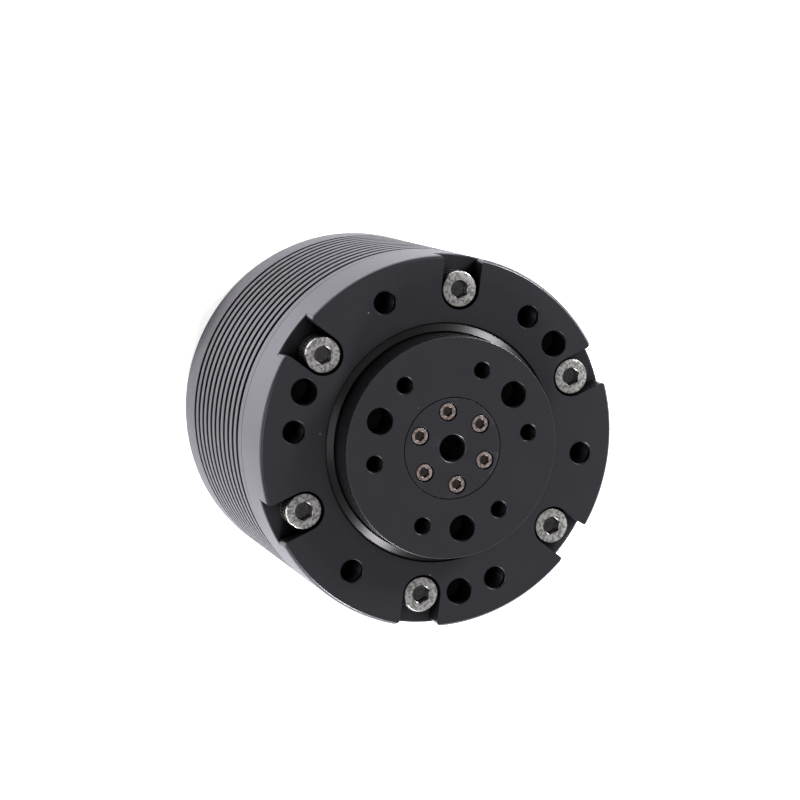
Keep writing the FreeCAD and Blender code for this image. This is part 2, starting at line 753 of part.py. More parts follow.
# --- stator ----------------------------------------------------------------
def stator_core():
    """Laminated core: yoke, teeth and tooth shoes."""
    low, high = core_z, core_front_z
    core = tube(stator_r - seat_gap, yoke_in_r, low, high)
    shoes = tube(tooth_base_r, stator_in_r, low, high)
    slot = block(2 * shoe_height + overshoot, slot_opening, low - overshoot, high + overshoot)
    shoes = shoes.cut(around(slot, tooth_base_r, slot_count, 180.0 / slot_count))
    inner = (stator_in_r + tooth_base_r) / 2
    outer = (yoke_in_r + stator_r) / 2
    tooth = block(outer - inner, tooth_width, low, high)
    teeth = around(tooth, (outer + inner) / 2, slot_count)
    return core.fuse(shoes.Solids + teeth).removeSplitter()


def stator_windings():
    """One copper coil round each tooth."""
    reach = coil_thickness + coil_gap
    inner_r = tooth_base_r + 2 * coil_gap
    outer_r = math.sqrt((yoke_in_r - coil_gap) ** 2 - (tooth_width / 2 + reach) ** 2)
    depth = outer_r - inner_r
    low, high = core_z - winding_overhang, core_front_z + winding_overhang
    coil = block(depth, tooth_width + 2 * reach, low, high)
    corners = [e for e in coil.Edges if abs(e.Length - depth) < 1e-6]
    coil = coil.makeFillet(coil_thickness / 2, corners)
    window = block(depth + 2 * overshoot, tooth_width + 2 * coil_gap,
                   core_z - coil_gap, core_front_z + coil_gap)
    coil = coil.cut(window)
    return around(coil, (inner_r + outer_r) / 2, slot_count)


# --- end plate and rear of the motor ---------------------------------------
def lead_angles():
    """Angles of the three motor leads, side by side about +Y."""
    return [90.0 - lead_spread, 90.0, 90.0 + lead_spread]


def motor_end_plate():
    """Plate behind the motor with the rear bearing's boss and the cover's posts."""
    lip_r = rotor_bearing_r - bearing_lip_height
    boss_high = rear_bearing_z + rotor_bearing_width
    body = turned([(lip_r, end_plate_z), (end_plate_r, end_plate_z), (end_plate_r, end_plate_front_z),
                   (bearing_boss_r, end_plate_front_z), (bearing_boss_r, boss_high),
                   (rotor_bearing_r, boss_high), (rotor_bearing_r, rear_bearing_z), (lip_r, rear_bearing_z)])
    post = rod(post_radius, cover_thickness + seat_gap, end_plate_z + end_plate_thickness / 2)
    body = body.fuse(around(post, post_circle_r, post_count, 180.0 / post_count))
    low, high = end_plate_z - overshoot, end_plate_front_z + overshoot
    cover_thread = rod(FLAT_M2["shank"] + seat_gap, cover_thickness - overshoot,
                       cover_screw_length + seat_gap)
    end_hole = rod(M1_6["shank"] + seat_gap, low, high)
    board_hole = rod(M2["shank"] + seat_gap, low, high)
    tools = around(cover_thread, post_circle_r, post_count, 180.0 / post_count)
    tools += around(end_hole, end_screw_r, end_screw_count)
    tools += around(board_hole, standoff_circle_r, post_count, 180.0 / post_count)
    lead_hole = rod(lead_radius + lead_hole_gap, low, high)
    tools += [placed(lead_hole, lead_circle_r, angle) for angle in lead_angles()]
    return body.cut(tools)


def end_plate_screws():
    """Screws that hold the end plate against the housing shoulder."""
    screw = upside_down(socket_screw(M1_6, end_screw_length, end_plate_z), end_plate_z)
    return around(screw, end_screw_r, end_screw_count)


def phase_leads():
    """Motor leads from three coils to the driver board."""
    lead = rod(lead_radius, board_front_z, core_z - winding_overhang)
    return [placed(lead, lead_circle_r, angle) for angle in lead_angles()]


# --- electronics -----------------------------------------------------------
def driver_board():
    """Round circuit board with holes for its screws and windows for the sockets."""
    low, high = board_z - overshoot, board_front_z + overshoot
    hole = rod(M2["shank"] + seat_gap, low, high)
    tools = around(hole, standoff_circle_r, post_count, 180.0 / post_count)
    tools += socket_windows(seat_gap, low, high)
    return rod(board_r, board_z, board_front_z).cut(tools)


def board_standoffs():
    """Hexagonal spacers between the board and the end plate."""
    body = hexagon(2 * standoff_radius, board_front_z, end_plate_z)
    body = body.cut(rod(M2["shank"] + seat_gap, board_front_z - overshoot, end_plate_z + overshoot))
    return around(body, standoff_circle_r, post_count, 180.0 / post_count)


def board_screws():
    """Screws through the board and the spacers into the end plate."""
    screw = upside_down(socket_screw(M2, board_screw_length, board_z), board_z)
    return around(screw, standoff_circle_r, post_count, 180.0 / post_count)


def power_transistors():
    """Six transistors on the rear of the board, three to each side."""
    chip = block(transistor_size, transistor_size, board_z - transistor_height, board_z)
    angles = [side + step * transistor_angle for side in (0.0, 180.0) for step in (-1, 0, 1)]
    return [placed(chip, transistor_circle, angle) for angle in angles]


def control_chips():
    """Controller at the middle of the board and two capacitors beside it."""
    controller = block(controller_size, controller_size, board_z - controller_height, board_z)
    chips = [controller]
    for side in (-1, 1):
        capacitor = rod(capacitor_radius, board_z - capacitor_height, board_z)
        capacitor.translate(V(side * capacitor_place[0], capacitor_place[1], 0))
        chips.append(capacitor)
    return chips


def encoder_chip():
    """Position sensor on the front of the board, facing the shaft magnet."""
    return block(*encoder_chip_size, board_front_z, board_front_z + encoder_chip_height)


def socket_windows(gap, low, high):
    """Tools for the windows round both sockets."""
    tools = []
    for size, place_y in ((power_socket_size, -socket_circle), (signal_socket_size, socket_circle)):
        window = block(size[0] + 2 * gap, size[1] + 2 * gap, low, high)
        window.translate(V(0, place_y, 0))
        tools.append(window)
    return tools


def socket_body(size, place_y):
    """Open socket shell held in the board, with its mouth just inside the cover's face."""
    end = socket_recess + socket_height
    shell = block(*size, socket_recess, end)
    cavity = block(size[0] - 2 * socket_wall, size[1] - 2 * socket_wall,
                   socket_recess - overshoot, end - socket_wall)
    shell = shell.cut(cavity)
    shell.translate(V(0, place_y, 0))
    return shell


def socket_contacts():
    """Flat contacts against the socket walls: a facing pair for power, a row for signals."""
    high = socket_recess + socket_height - socket_wall
    low = high - contact_length
    contacts = []
    blade = block(contact_thickness, power_contact_width, low, high)
    reach = (power_socket_size[0] - contact_thickness) / 2 - socket_wall
    for side in (-1, 1):
        contact = blade.copy()
        contact.translate(V(side * reach, -socket_circle, 0))
        contacts.append(contact)
    blade = block(signal_contact_width, contact_thickness, low, high)
    wall_y = socket_circle + (signal_socket_size[1] - contact_thickness) / 2 - socket_wall
    for i in range(signal_contact_count):
        contact = blade.copy()
        contact.translate(V((i - (signal_contact_count - 1) / 2) * signal_contact_spacing, wall_y, 0))
        contacts.append(contact)
    return contacts


# --- rear cover ------------------------------------------------------------
def rear_cover():
    """Flat cover with windows for the two sockets."""
    rim = bay_r - cover_gap
    body = turned([(0, 0), (rim - cover_edge, 0), (rim, cover_edge), (rim, cover_thickness),
                   (0, cover_thickness)])
    tools = socket_windows(socket_clearance, -overshoot, cover_thickness + overshoot)
    sink = upside_down(countersink(FLAT_M2, 0, cover_thickness + overshoot), 0)
    tools += around(sink, post_circle_r, post_count, 180.0 / post_count)
    return body.cut(tools)


def rear_cover_screws():
    """Countersunk screws that hold the cover to the end plate's posts."""
    screw = upside_down(flat_screw(FLAT_M2, cover_screw_length, 0), 0)
    return around(screw, post_circle_r, post_count, 180.0 / post_count)


# --- the assembly ----------------------------------------------------------
def all_parts():
    """Every sub-part by its name: one solid, or a list of like solids."""
    inner_race, outer_race = output_races()
    front_inner, front_outer, front_balls, front_cage = rotor_bearing(front_bearing_z)
    rear_inner, rear_outer, rear_balls, rear_cage = rotor_bearing(rear_bearing_z)
    parts = {
        "front_housing": front_housing(),
        "flange_screws": flange_screws(),
        "seal_case": seal_case(),
        "seal_lip": seal_lip(),
        "finned_housing": finned_housing(),
        "ring_gear": ring_gear(),
        "output_bearing_outer_ring": outer_race,
        "output_bearing_inner_ring": inner_race,
        "output_bearing_rollers": output_rollers(),
        "output_bearing_cage": output_cage(),
        "output_flange": output_flange(),
        "centre_cap": centre_cap(),
        "cap_screws": cap_screws(),
        "carrier_plate": carrier_plate(),
        "carrier_plate_screws": plate_screws(),
        "second_stage_pins": second_pins(),
        "second_sun_gear": second_sun(),
        "first_stage_carrier": first_carrier(),
        "first_stage_pins": first_pins(),
        "first_sun_gear": first_sun(),
        "rotor_hub": rotor_hub(),
        "rotor_back_iron": rotor_back_iron(),
        "rotor_magnets": rotor_magnets(),
        "encoder_magnet": encoder_magnet(),
        "front_bearing_inner_ring": front_inner,
        "front_bearing_outer_ring": front_outer,
        "front_bearing_balls": front_balls,
        "front_bearing_cage": front_cage,
        "rear_bearing_inner_ring": rear_inner,
        "rear_bearing_outer_ring": rear_outer,
        "rear_bearing_balls": rear_balls,
        "rear_bearing_cage": rear_cage,
        "stator_core": stator_core(),
        "stator_windings": stator_windings(),
        "phase_leads": phase_leads(),
        "motor_end_plate": motor_end_plate(),
        "end_plate_screws": end_plate_screws(),
        "driver_board": driver_board(),
        "board_standoffs": board_standoffs(),
        "board_screws": board_screws(),
        "power_transistors": power_transistors(),
        "control_chips": control_chips(),
        "encoder_chip": encoder_chip(),
        "power_socket": socket_body(power_socket_size, -socket_circle),
        "signal_socket": socket_body(signal_socket_size, socket_circle),
        "socket_contacts": socket_contacts(),
        "rear_cover": rear_cover(),
        "rear_cover_screws": rear_cover_screws(),
    }
    first_planets = planets(first_planet_teeth, first_orbit_r, first_pin_radius,
                            first_planet_z, first_face_width)
    second_planets = planets(second_planet_teeth, second_orbit_r, second_pin_radius,
                             second_planet_z, second_face_width)
    for letter, first, second in zip("abc", first_planets, second_planets):
        parts[f"first_planet_{letter}"] = first
        parts[f"second_planet_{letter}"] = second
    return parts


def main():
    """Write one STEP file for each sub-part."""
    os.makedirs("parts", exist_ok=True)
    for name, shape in all_parts().items():
        if isinstance(shape, list):
            shape = Part.makeCompound(shape)
        shape.exportStep(f"parts/{name}.step")


main()
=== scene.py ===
"""Finished look of the robot joint actuator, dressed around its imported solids.

Lengths are metres in the frame of the solids: +Z along the output axis, origin at the rear face.
The outer pieces are modelled anew with rounded edges; the inner pieces keep their solids and get finishes.
"""

import json
import math

import bmesh
import bpy
from bpy.props import FloatProperty, FloatVectorProperty, IntProperty, PointerProperty
from bpy.types import NodeSocket, Operator, Panel, PropertyGroup, Scene
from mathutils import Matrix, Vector


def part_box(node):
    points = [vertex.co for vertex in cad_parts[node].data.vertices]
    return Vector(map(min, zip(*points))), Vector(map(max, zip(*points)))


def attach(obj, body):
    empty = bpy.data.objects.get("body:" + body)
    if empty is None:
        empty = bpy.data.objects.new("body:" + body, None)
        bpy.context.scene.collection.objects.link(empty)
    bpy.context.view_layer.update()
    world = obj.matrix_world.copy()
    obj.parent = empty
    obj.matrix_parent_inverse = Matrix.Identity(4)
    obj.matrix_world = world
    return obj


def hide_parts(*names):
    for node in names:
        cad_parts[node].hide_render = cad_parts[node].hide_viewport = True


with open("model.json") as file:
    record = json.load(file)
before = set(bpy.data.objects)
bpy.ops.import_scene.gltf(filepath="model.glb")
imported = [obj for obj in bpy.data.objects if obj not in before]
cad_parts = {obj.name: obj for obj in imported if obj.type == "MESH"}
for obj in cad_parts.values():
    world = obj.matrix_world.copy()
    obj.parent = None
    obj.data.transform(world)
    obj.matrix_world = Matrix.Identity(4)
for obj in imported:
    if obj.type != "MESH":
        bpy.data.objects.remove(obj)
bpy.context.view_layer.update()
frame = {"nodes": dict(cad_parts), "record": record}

bl_info = {
    "name": "Joint Actuator",
    "version": (1, 0, 0),
    "blender": (4, 5, 0),
    "location": "View3D > Sidebar > Actuator",
    "description": "Models the outer pieces, finishes and stage of a robot joint actuator",
    "category": "Object",
}

TURN = 2 * math.pi
OVERSHOOT = 0.0005      # how far a cutter stands clear of the face it enters
MERGE = 2e-6            # points closer than this are one point
HEX_SIDES = 6
CAP_SCREWS = 6
KNURL_DRAW = 0.965      # radius of a knurl's valleys, as a share of the head's radius
THREAD_CREST = 0.54     # depth of a thread ring, as a share of its pitch
SMOOTH_BELOW = math.radians(30)     # faces that meet at less than this are shaded as one
SHARP_ABOVE = math.radians(40)      # edges that turn by more than this are rounded
FLOOR_DROP = 0.00002    # floor below the rear face
SOCKETS = ("power_socket", "signal_socket")

# Sizes of standard and hidden details, which are not offered as settings.
SEAT_GAP = 0.00004      # round a piece that is seated in another
BAY_GAP = 0.00008       # round the rear cover
SEAL_STEP = 0.0005      # ledge that the seal rests on
RACE_LIP, RACE_RELIEF = 0.0019, 0.0004      # lip over the bearing's fixed ring, step over the turning one
FLANGE_TAP = (0.0065, 0.0007)       # depth and pitch of a thread
BOSS_TAP = (0.0055, 0.0005)
SCREW_TAP = (0.0057, 0.0005)
DOWEL_DEPTH, DOWEL_CHAMFER = 0.005, 0.00008
FLANGE_SHANK_R, FLANGE_FLATS = 0.0015, 0.0025       # shank and socket of a flange screw
CAP_SHANK_R, CAP_FLATS, CAP_HEAD_HEIGHT = 0.0007, 0.0014, 0.0014
PIN_R, PIN_CIRCLE = 0.00175, 0.0135


# --- places read from the frame ---
def node_span(node):
    """Outer radius, lowest and highest height of a round node."""
    low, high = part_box(node)
    return high.x, low.z, high.z


def hole_circle(name):
    """Circle radius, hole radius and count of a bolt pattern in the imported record."""
    dims = next(mount for mount in frame["record"]["mounts"] if mount["name"] == name)["dims"]
    return dims["pcd_mm"] / 2000, dims["hole_r_mm"] / 1000, dims["count"]


BODY_R, SEAM_Z, FACE_Z = node_span("front_housing")
BOSS_R, _, BOSS_Z = node_span("output_flange")
CAP_R, CAP_LOW_Z, _ = node_span("centre_cap")
SEAL_R, SEAL_LOW_Z, SEAL_Z = node_span("seal_case")
BEARING_R, _, BEARING_TOP_Z = node_span("output_bearing_outer_ring")
COVER_R, _, COVER_Z = node_span("rear_cover")
SCREW_TOP_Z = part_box("flange_screws")[1].z
CAP_SCREW_LOW_Z, CAP_SCREW_Z = (corner.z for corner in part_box("cap_screws"))
FLANGE_CIRCLE, FLANGE_THREAD_R, FLANGE_THREADS = hole_circle("housing_bolts")
_, FLANGE_DOWEL_R, FLANGE_DOWELS = hole_circle("housing_dowels")
BOSS_CIRCLE, BOSS_THREAD_R, BOSS_THREADS = hole_circle("output_bolts")
_, BOSS_DOWEL_R, BOSS_DOWELS = hole_circle("output_dowels")


# --- modelling by hand, in operators ---
def deselect():
    """Object mode with nothing selected."""
    if bpy.context.object and bpy.context.object.mode != "OBJECT":
        bpy.ops.object.mode_set(mode="OBJECT")
    bpy.ops.object.select_all(action="DESELECT")


def take(*pieces):
    """Selects pieces and makes the first one active."""
    deselect()
    for piece in pieces:
        piece.select_set(True)
    bpy.context.view_layer.objects.active = pieces[0]


def settle(piece):
    """Puts a piece's place, turn and size into its mesh."""
    take(piece)
    bpy.ops.object.transform_apply(location=True, rotation=True, scale=True)
    return piece


def trace(name, points):
    """Flat face in edit mode, its closed outline walked by extruding one point from place to place."""
    deselect()
    bpy.ops.mesh.primitive_circle_add(vertices=3, radius=OVERSHOOT)
    piece = bpy.context.object
    piece.name = piece.data.name = name
    bpy.ops.object.mode_set(mode="EDIT")
    bpy.ops.mesh.merge(type="CENTER")
    bpy.ops.transform.translate(value=points[0])
    for start, end in zip(points, points[1:] + points[:1]):
        bpy.ops.mesh.extrude_region_move(TRANSFORM_OT_translate={"value": end - start})
    bpy.ops.mesh.select_all(action="SELECT")
    bpy.ops.mesh.remove_doubles(threshold=MERGE)
    bpy.ops.mesh.edge_face_add()
    return piece


def round_corners(piece, outline, steps):
    """Rounds the traced corners that state a third value, the radius of their round."""
    for size in sorted({corner[2] for corner in outline if len(corner) > 2}):
        places = [Vector((c[0], 0, c[1])) for c in outline if len(c) > 2 and c[2] == size]
        mesh = bmesh.from_edit_mesh(piece.data)
        for vertex in mesh.verts:
            vertex.select = any((vertex.co - place).length < MERGE for place in places)
        mesh.select_flush_mode()
        bmesh.update_edit_mesh(piece.data)
        bpy.ops.mesh.bevel(affect="VERTICES", offset=size, segments=steps, clamp_overlap=False)


def turned(name, outline, segments, steps=2):
    """Piece turned about the Z axis from its outline, with smooth rounds and crisp edges."""
    piece = trace(name, [Vector((corner[0], 0, corner[1])) for corner in outline])
    round_corners(piece, outline, steps)
    bpy.ops.mesh.select_all(action="SELECT")
    bpy.ops.mesh.delete(type="ONLY_FACE")
    bpy.ops.mesh.select_all(action="SELECT")
    bpy.ops.mesh.spin(steps=segments, angle=TURN, center=(0, 0, 0), axis=(0, 0, 1))
    bpy.ops.mesh.select_all(action="SELECT")
    bpy.ops.mesh.remove_doubles(threshold=MERGE)
    bpy.ops.mesh.normals_make_consistent(inside=False)
    bpy.ops.object.mode_set(mode="OBJECT")
    return piece


def prism(name, corners, low, height):
    """Upright prism over a closed list of (x, y) corners."""
    piece = trace(name, [Vector((x, y, low)) for x, y in corners])
    bpy.ops.mesh.select_all(action="SELECT")
    bpy.ops.mesh.extrude_region_move(TRANSFORM_OT_translate={"value": (0, 0, height)})
    bpy.ops.mesh.select_all(action="SELECT")
    bpy.ops.mesh.normals_make_consistent(inside=False)
    bpy.ops.object.mode_set(mode="OBJECT")
    return piece


def arc(centre, radius, start, end, steps):
    """Points of an arc in the XY plane, its ends among them."""
    angles = [start + (end - start) * i / steps for i in range(steps + 1)]
    return [(centre[0] + radius * math.cos(a), centre[1] + radius * math.sin(a)) for a in angles]


def turn_about_axis(angle):
    """Turns the selection about the Z axis. Without a window this operator turns the other way."""
    bpy.ops.transform.rotate(value=-angle, orient_axis="Z", center_override=(0, 0, 0))


def ring_of(piece, radius, count, first=0.0):
    """Moves a piece out from the axis and joins evenly spaced copies of it into one piece."""
    take(piece)
    bpy.ops.transform.translate(value=(radius, 0, 0))
    turn_about_axis(first)
    copies = [piece]
    for _ in range(count - 1):
        take(copies[-1])
        bpy.ops.object.duplicate(linked=False)
        turn_about_axis(TURN / count)
        copies.append(bpy.context.object)
    take(*copies)
    bpy.ops.object.join()
    return settle(piece)


def modify(piece, kind, **settings):
    """Puts a modifier with its settings on a piece and applies it."""
    take(piece)
    modifier = piece.modifiers.new(kind.title(), kind)
    for key, value in settings.items():
        setattr(modifier, key, value)
    bpy.ops.object.modifier_apply(modifier=modifier.name)


def carve(piece, *cutters):
    """Cuts each cutter out of the piece and deletes it."""
    for cutter in cutters:
        modify(piece, "BOOLEAN", operation="DIFFERENCE", solver="EXACT", object=cutter)
        bpy.data.objects.remove(cutter)
    return piece


def soften(piece, width, steps):
    """Small rounds on all sharp edges."""
    modify(piece, "BEVEL", width=width, segments=steps, limit_method="ANGLE", angle_limit=SHARP_ABOVE,
           use_clamp_overlap=True, miter_outer="MITER_ARC")


def finish_piece(piece, body, slot, finish_name, *nodes):
    """Smooth shading, finish, body and the solids that the piece stands for."""
    take(piece)
    bpy.ops.object.shade_smooth_by_angle(angle=SMOOTH_BELOW)
    modify(piece, "WEIGHTED_NORMAL", keep_sharp=True, weight=100)
    piece.data.materials.clear()
    piece.data.materials.append(finish(finish_name))
    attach(piece, body)
    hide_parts(*nodes)


def threaded_hole(name, radius, mouth_z, depth, pitch, chamfer, segments):
    """Cutter for a tapped hole: ring threads below a chamfered mouth."""
    bottom = mouth_z - depth
    crest = radius + THREAD_CREST * pitch
    outline = [(0, bottom - radius / 2), (radius, bottom)]
    thread_z = bottom + pitch
    while thread_z + pitch < mouth_z - chamfer - crest + radius:
        outline += [(radius, thread_z), (crest, thread_z + pitch / 2)]
        thread_z += pitch
    outline += [(radius, thread_z), (radius, mouth_z - chamfer),
                (radius + chamfer + OVERSHOOT, mouth_z + OVERSHOOT), (0, mouth_z + OVERSHOOT)]
    return turned(name, outline, segments)


def plain_hole(name, radius, mouth_z, depth, segments, chamfer=0.0):
    """Cutter for a drilled hole with a cone at its bottom and an optional mouth chamfer."""
    bottom = mouth_z - depth
    outline = [(0, bottom - radius / 3), (radius, bottom)]
    if chamfer:
        outline += [(radius, mouth_z - chamfer), (radius + chamfer + OVERSHOOT, mouth_z + OVERSHOOT)]
    else:
        outline.append((radius, mouth_z + OVERSHOOT))
    outline.append((0, mouth_z + OVERSHOOT))
    return turned(name, outline, segments)


# --- shader building ---
def feed(tree, node, **inputs):
    """Fills or links a node's inputs, whose spaces are underscores; i6 stands for the input at place 6."""
    for key, value in inputs.items():
        place = int(key[1:]) if key[0] == "i" and key[1:].isdigit() else key.replace("_", " ")
        if isinstance(value, NodeSocket):
            tree.links.new(value, node.inputs[place])
        else:
            node.inputs[place].default_value = value


def add_node(tree, kind, settings=None, **inputs):
    """Adds a shader node, sets its options and feeds its inputs."""
    node = tree.nodes.new(kind)
    for key, value in (settings or {}).items():
        setattr(node, key, value)
    feed(tree, node, **inputs)
    return node


def calc(tree, operation, first, second=0.5, clamp=False):
    """One arithmetic step; returns its value socket."""
    options = {"operation": operation, "use_clamp": clamp}
    return add_node(tree, "ShaderNodeMath", options, i0=first, i1=second).outputs[0]


def new_group(name, inputs, outputs):
    """Empty shader group with float inputs {name: default}; returns it, its inputs and its output node."""
    group = bpy.data.node_groups.new(name, "ShaderNodeTree")
    for label, default in inputs.items():
        socket = group.interface.new_socket(name=label, in_out="INPUT", socket_type="NodeSocketFloat")
        socket.default_value = default
    for label in outputs:
        group.interface.new_socket(name=label, in_out="OUTPUT", socket_type="NodeSocketFloat")
    return group, group.nodes.new("NodeGroupInput").outputs, group.nodes.new("NodeGroupOutput")


def axis_radius(tree):
    """Object coordinates split, and the distance from the Z axis."""
    place = own_place(tree)
    parts = add_node(tree, "ShaderNodeSeparateXYZ", Vector=place).outputs
    flat = add_node(tree, "ShaderNodeCombineXYZ", X=parts["X"], Y=parts["Y"]).outputs[0]
    radius = add_node(tree, "ShaderNodeVectorMath", {"operation": "LENGTH"}, i0=flat).outputs["Value"]
    return place, parts, radius


def noise(tree, place, scale, detail):
    """Noise value at a place."""
    return add_node(tree, "ShaderNodeTexNoise", Vector=place, Scale=scale, Detail=detail).outputs["Fac"]


def own_place(tree):
    """Place on the piece in object coordinates."""
    return add_node(tree, "ShaderNodeTexCoord").outputs["Object"]


def blasted_grain_group():
    """Fine pitted grain of a blasted and anodised surface."""
    defaults = {"Scale": 5000.0, "Mottle": 260.0}
    group, given, result = new_group("Blasted grain", defaults, ("Pits", "Mottle"))
    place = own_place(group)
    pits, mottle = noise(group, place, given["Scale"], 3.0), noise(group, place, given["Mottle"], 4.0)
    feed(group, result, Pits=pits, Mottle=mottle)
    return group


def turning_marks_group():
    """Fine rings that a lathe leaves round the Z axis, on faces and on cylinders alike."""
    group, given, result = new_group("Turning marks", {"Rings": 9000.0, "Waver": 6.0}, ("Height", "Shade"))
    place, parts, radius = axis_radius(group)
    across = calc(group, "MULTIPLY", radius, given["Rings"])
    along = calc(group, "MULTIPLY", parts["Z"], given["Rings"])
    drift = noise(group, place, given["Waver"], 1.0)
    point = add_node(group, "ShaderNodeCombineXYZ", X=across, Y=along, Z=drift).outputs[0]
    wide = add_node(group, "ShaderNodeVectorMath", {"operation": "SCALE"}, i0=point, Scale=0.08).outputs[0]
    feed(group, result, Height=noise(group, point, 1.0, 3.0), Shade=noise(group, wide, 1.0, 1.0))
    return group


def edge_line_group():
    """Mask of the line along sharp edges, whole and broken up by grain; finishes use it for worn edges
    with a painted highlight, for painted shade on screw edges, and for rougher edges.
    """
    group, given, result = new_group("Edge lines", {"Width": 0.0002, "Breaks": 1500.0}, ("Mask", "Edge"))
    rounded = add_node(group, "ShaderNodeBevel", {"samples": 4}, Radius=given["Width"]).outputs[0]
    flat = add_node(group, "ShaderNodeNewGeometry").outputs["Normal"]
    facing = add_node(group, "ShaderNodeVectorMath", {"operation": "DOT_PRODUCT"}, i0=rounded, i1=flat)
    edge = calc(group, "SUBTRACT", 1.0, facing.outputs["Value"])
    broken = calc(group, "MULTIPLY", edge, noise(group, own_place(group), given["Breaks"], 4.0))
    feed(group, result, Mask=calc(group, "MULTIPLY", broken, 9.0, True),
         Edge=calc(group, "MULTIPLY", edge, 12.0, True))
    return group


def dust_group():
    """Mask of a few small bright specks that lie scattered over a surface."""
    group, given, result = new_group("Dust specks", {"Scale": 330.0, "Size": 0.05}, ("Mask",))
    cells = add_node(group, "ShaderNodeTexVoronoi", Vector=own_place(group), Scale=given["Scale"])
    near = calc(group, "LESS_THAN", cells.outputs["Distance"], given["Size"])
    chance = add_node(group, "ShaderNodeSeparateColor", Color=cells.outputs["Color"]).outputs["Red"]
    rare = calc(group, "GREATER_THAN", chance, 0.86)
    feed(group, result, Mask=calc(group, "MULTIPLY", near, rare))
    return group


def outer_band_group():
    """Mask of the outermost turned surface, beyond a radius from the Z axis."""
    group, given, result = new_group("Outer band", {"Radius": 0.0279, "Softness": 0.0001}, ("Mask",))
    _, _, radius = axis_radius(group)
    beyond = calc(group, "SUBTRACT", radius, given["Radius"])
    feed(group, result, Mask=calc(group, "DIVIDE", beyond, given["Softness"], True))
    return group


def cavity_group():
    """Light that reaches a spot past the walls near it: 1 on open faces, 0 deep in a socket."""
    group, given, result = new_group("Cavity", {"Reach": 0.0015}, ("Open",))
    light = add_node(group, "ShaderNodeAmbientOcclusion", {"samples": 8}, Distance=given["Reach"])
    spread = add_node(group, "ShaderNodeMapRange", Value=light.outputs["AO"], From_Min=0.38, From_Max=0.97)
    feed(group, result, Open=spread.outputs[0])
    return group


def stacked_sheets_group():
    """Thin lines between sheets or turns that are stacked along the Z axis."""
    group, given, result = new_group("Stacked sheets", {"Sheets": 2000.0}, ("Line",))
    _, parts, _ = axis_radius(group)
    height = calc(group, "MULTIPLY", parts["Z"], given["Sheets"])
    saw = calc(group, "FRACT", height, 0.0)
    centred = calc(group, "ABSOLUTE", calc(group, "SUBTRACT", saw, 0.5), 0.0)
    feed(group, result, Line=calc(group, "MULTIPLY", centred, 2.0))
    return group


GROUP_MAKERS = {
    "Blasted grain": blasted_grain_group,
    "Turning marks": turning_marks_group,
    "Edge lines": edge_line_group,
    "Dust specks": dust_group,
    "Outer band": outer_band_group,
    "Stacked sheets": stacked_sheets_group,
    "Cavity": cavity_group,
}


def effect(tree, name, **values):
    """Places a shared effect in a material, made once, and returns its outputs."""
    group = bpy.data.node_groups.get(name) or GROUP_MAKERS[name]()
    return add_node(tree, "ShaderNodeGroup", {"node_tree": group}, **values).outputs


def new_material(name):
    """Material with one Principled shader; returns it, its node tree and the shader."""
    material = bpy.data.materials.new(name)
    material.use_nodes = True
    return material, material.node_tree, material.node_tree.nodes["Principled BSDF"]


def blend(tree, factor, first, second):
    """Colour between two others by a factor."""
    first, second = (c if isinstance(c, NodeSocket) else (*c[:3], 1) for c in (first, second))
    mix = add_node(tree, "ShaderNodeMix", {"data_type": "RGBA"}, Factor=factor, i6=first, i7=second)
    return mix.outputs[2]


def span(tree, value, low, high):
    """Maps a 0 to 1 value to a range."""
    return add_node(tree, "ShaderNodeMapRange", Value=value, To_Min=low, To_Max=high).outputs[0]


def bump(tree, shader, height, distance, strength=0.4):
    """Feeds a height into the shader's normal."""
    node = add_node(tree, "ShaderNodeBump", Height=height, Distance=distance, Strength=strength)
    feed(tree, shader, Normal=node.outputs[0])


def mottled(tree, factor, colour, dark, light):
    """Colour between a darker and a lighter shade of itself."""
    return blend(tree, factor, scaled(colour, dark), scaled(colour, light))


def scaled(colour, factor):
    """Colour made lighter or darker."""
    return tuple(min(1.0, part * factor) for part in colour[:3])


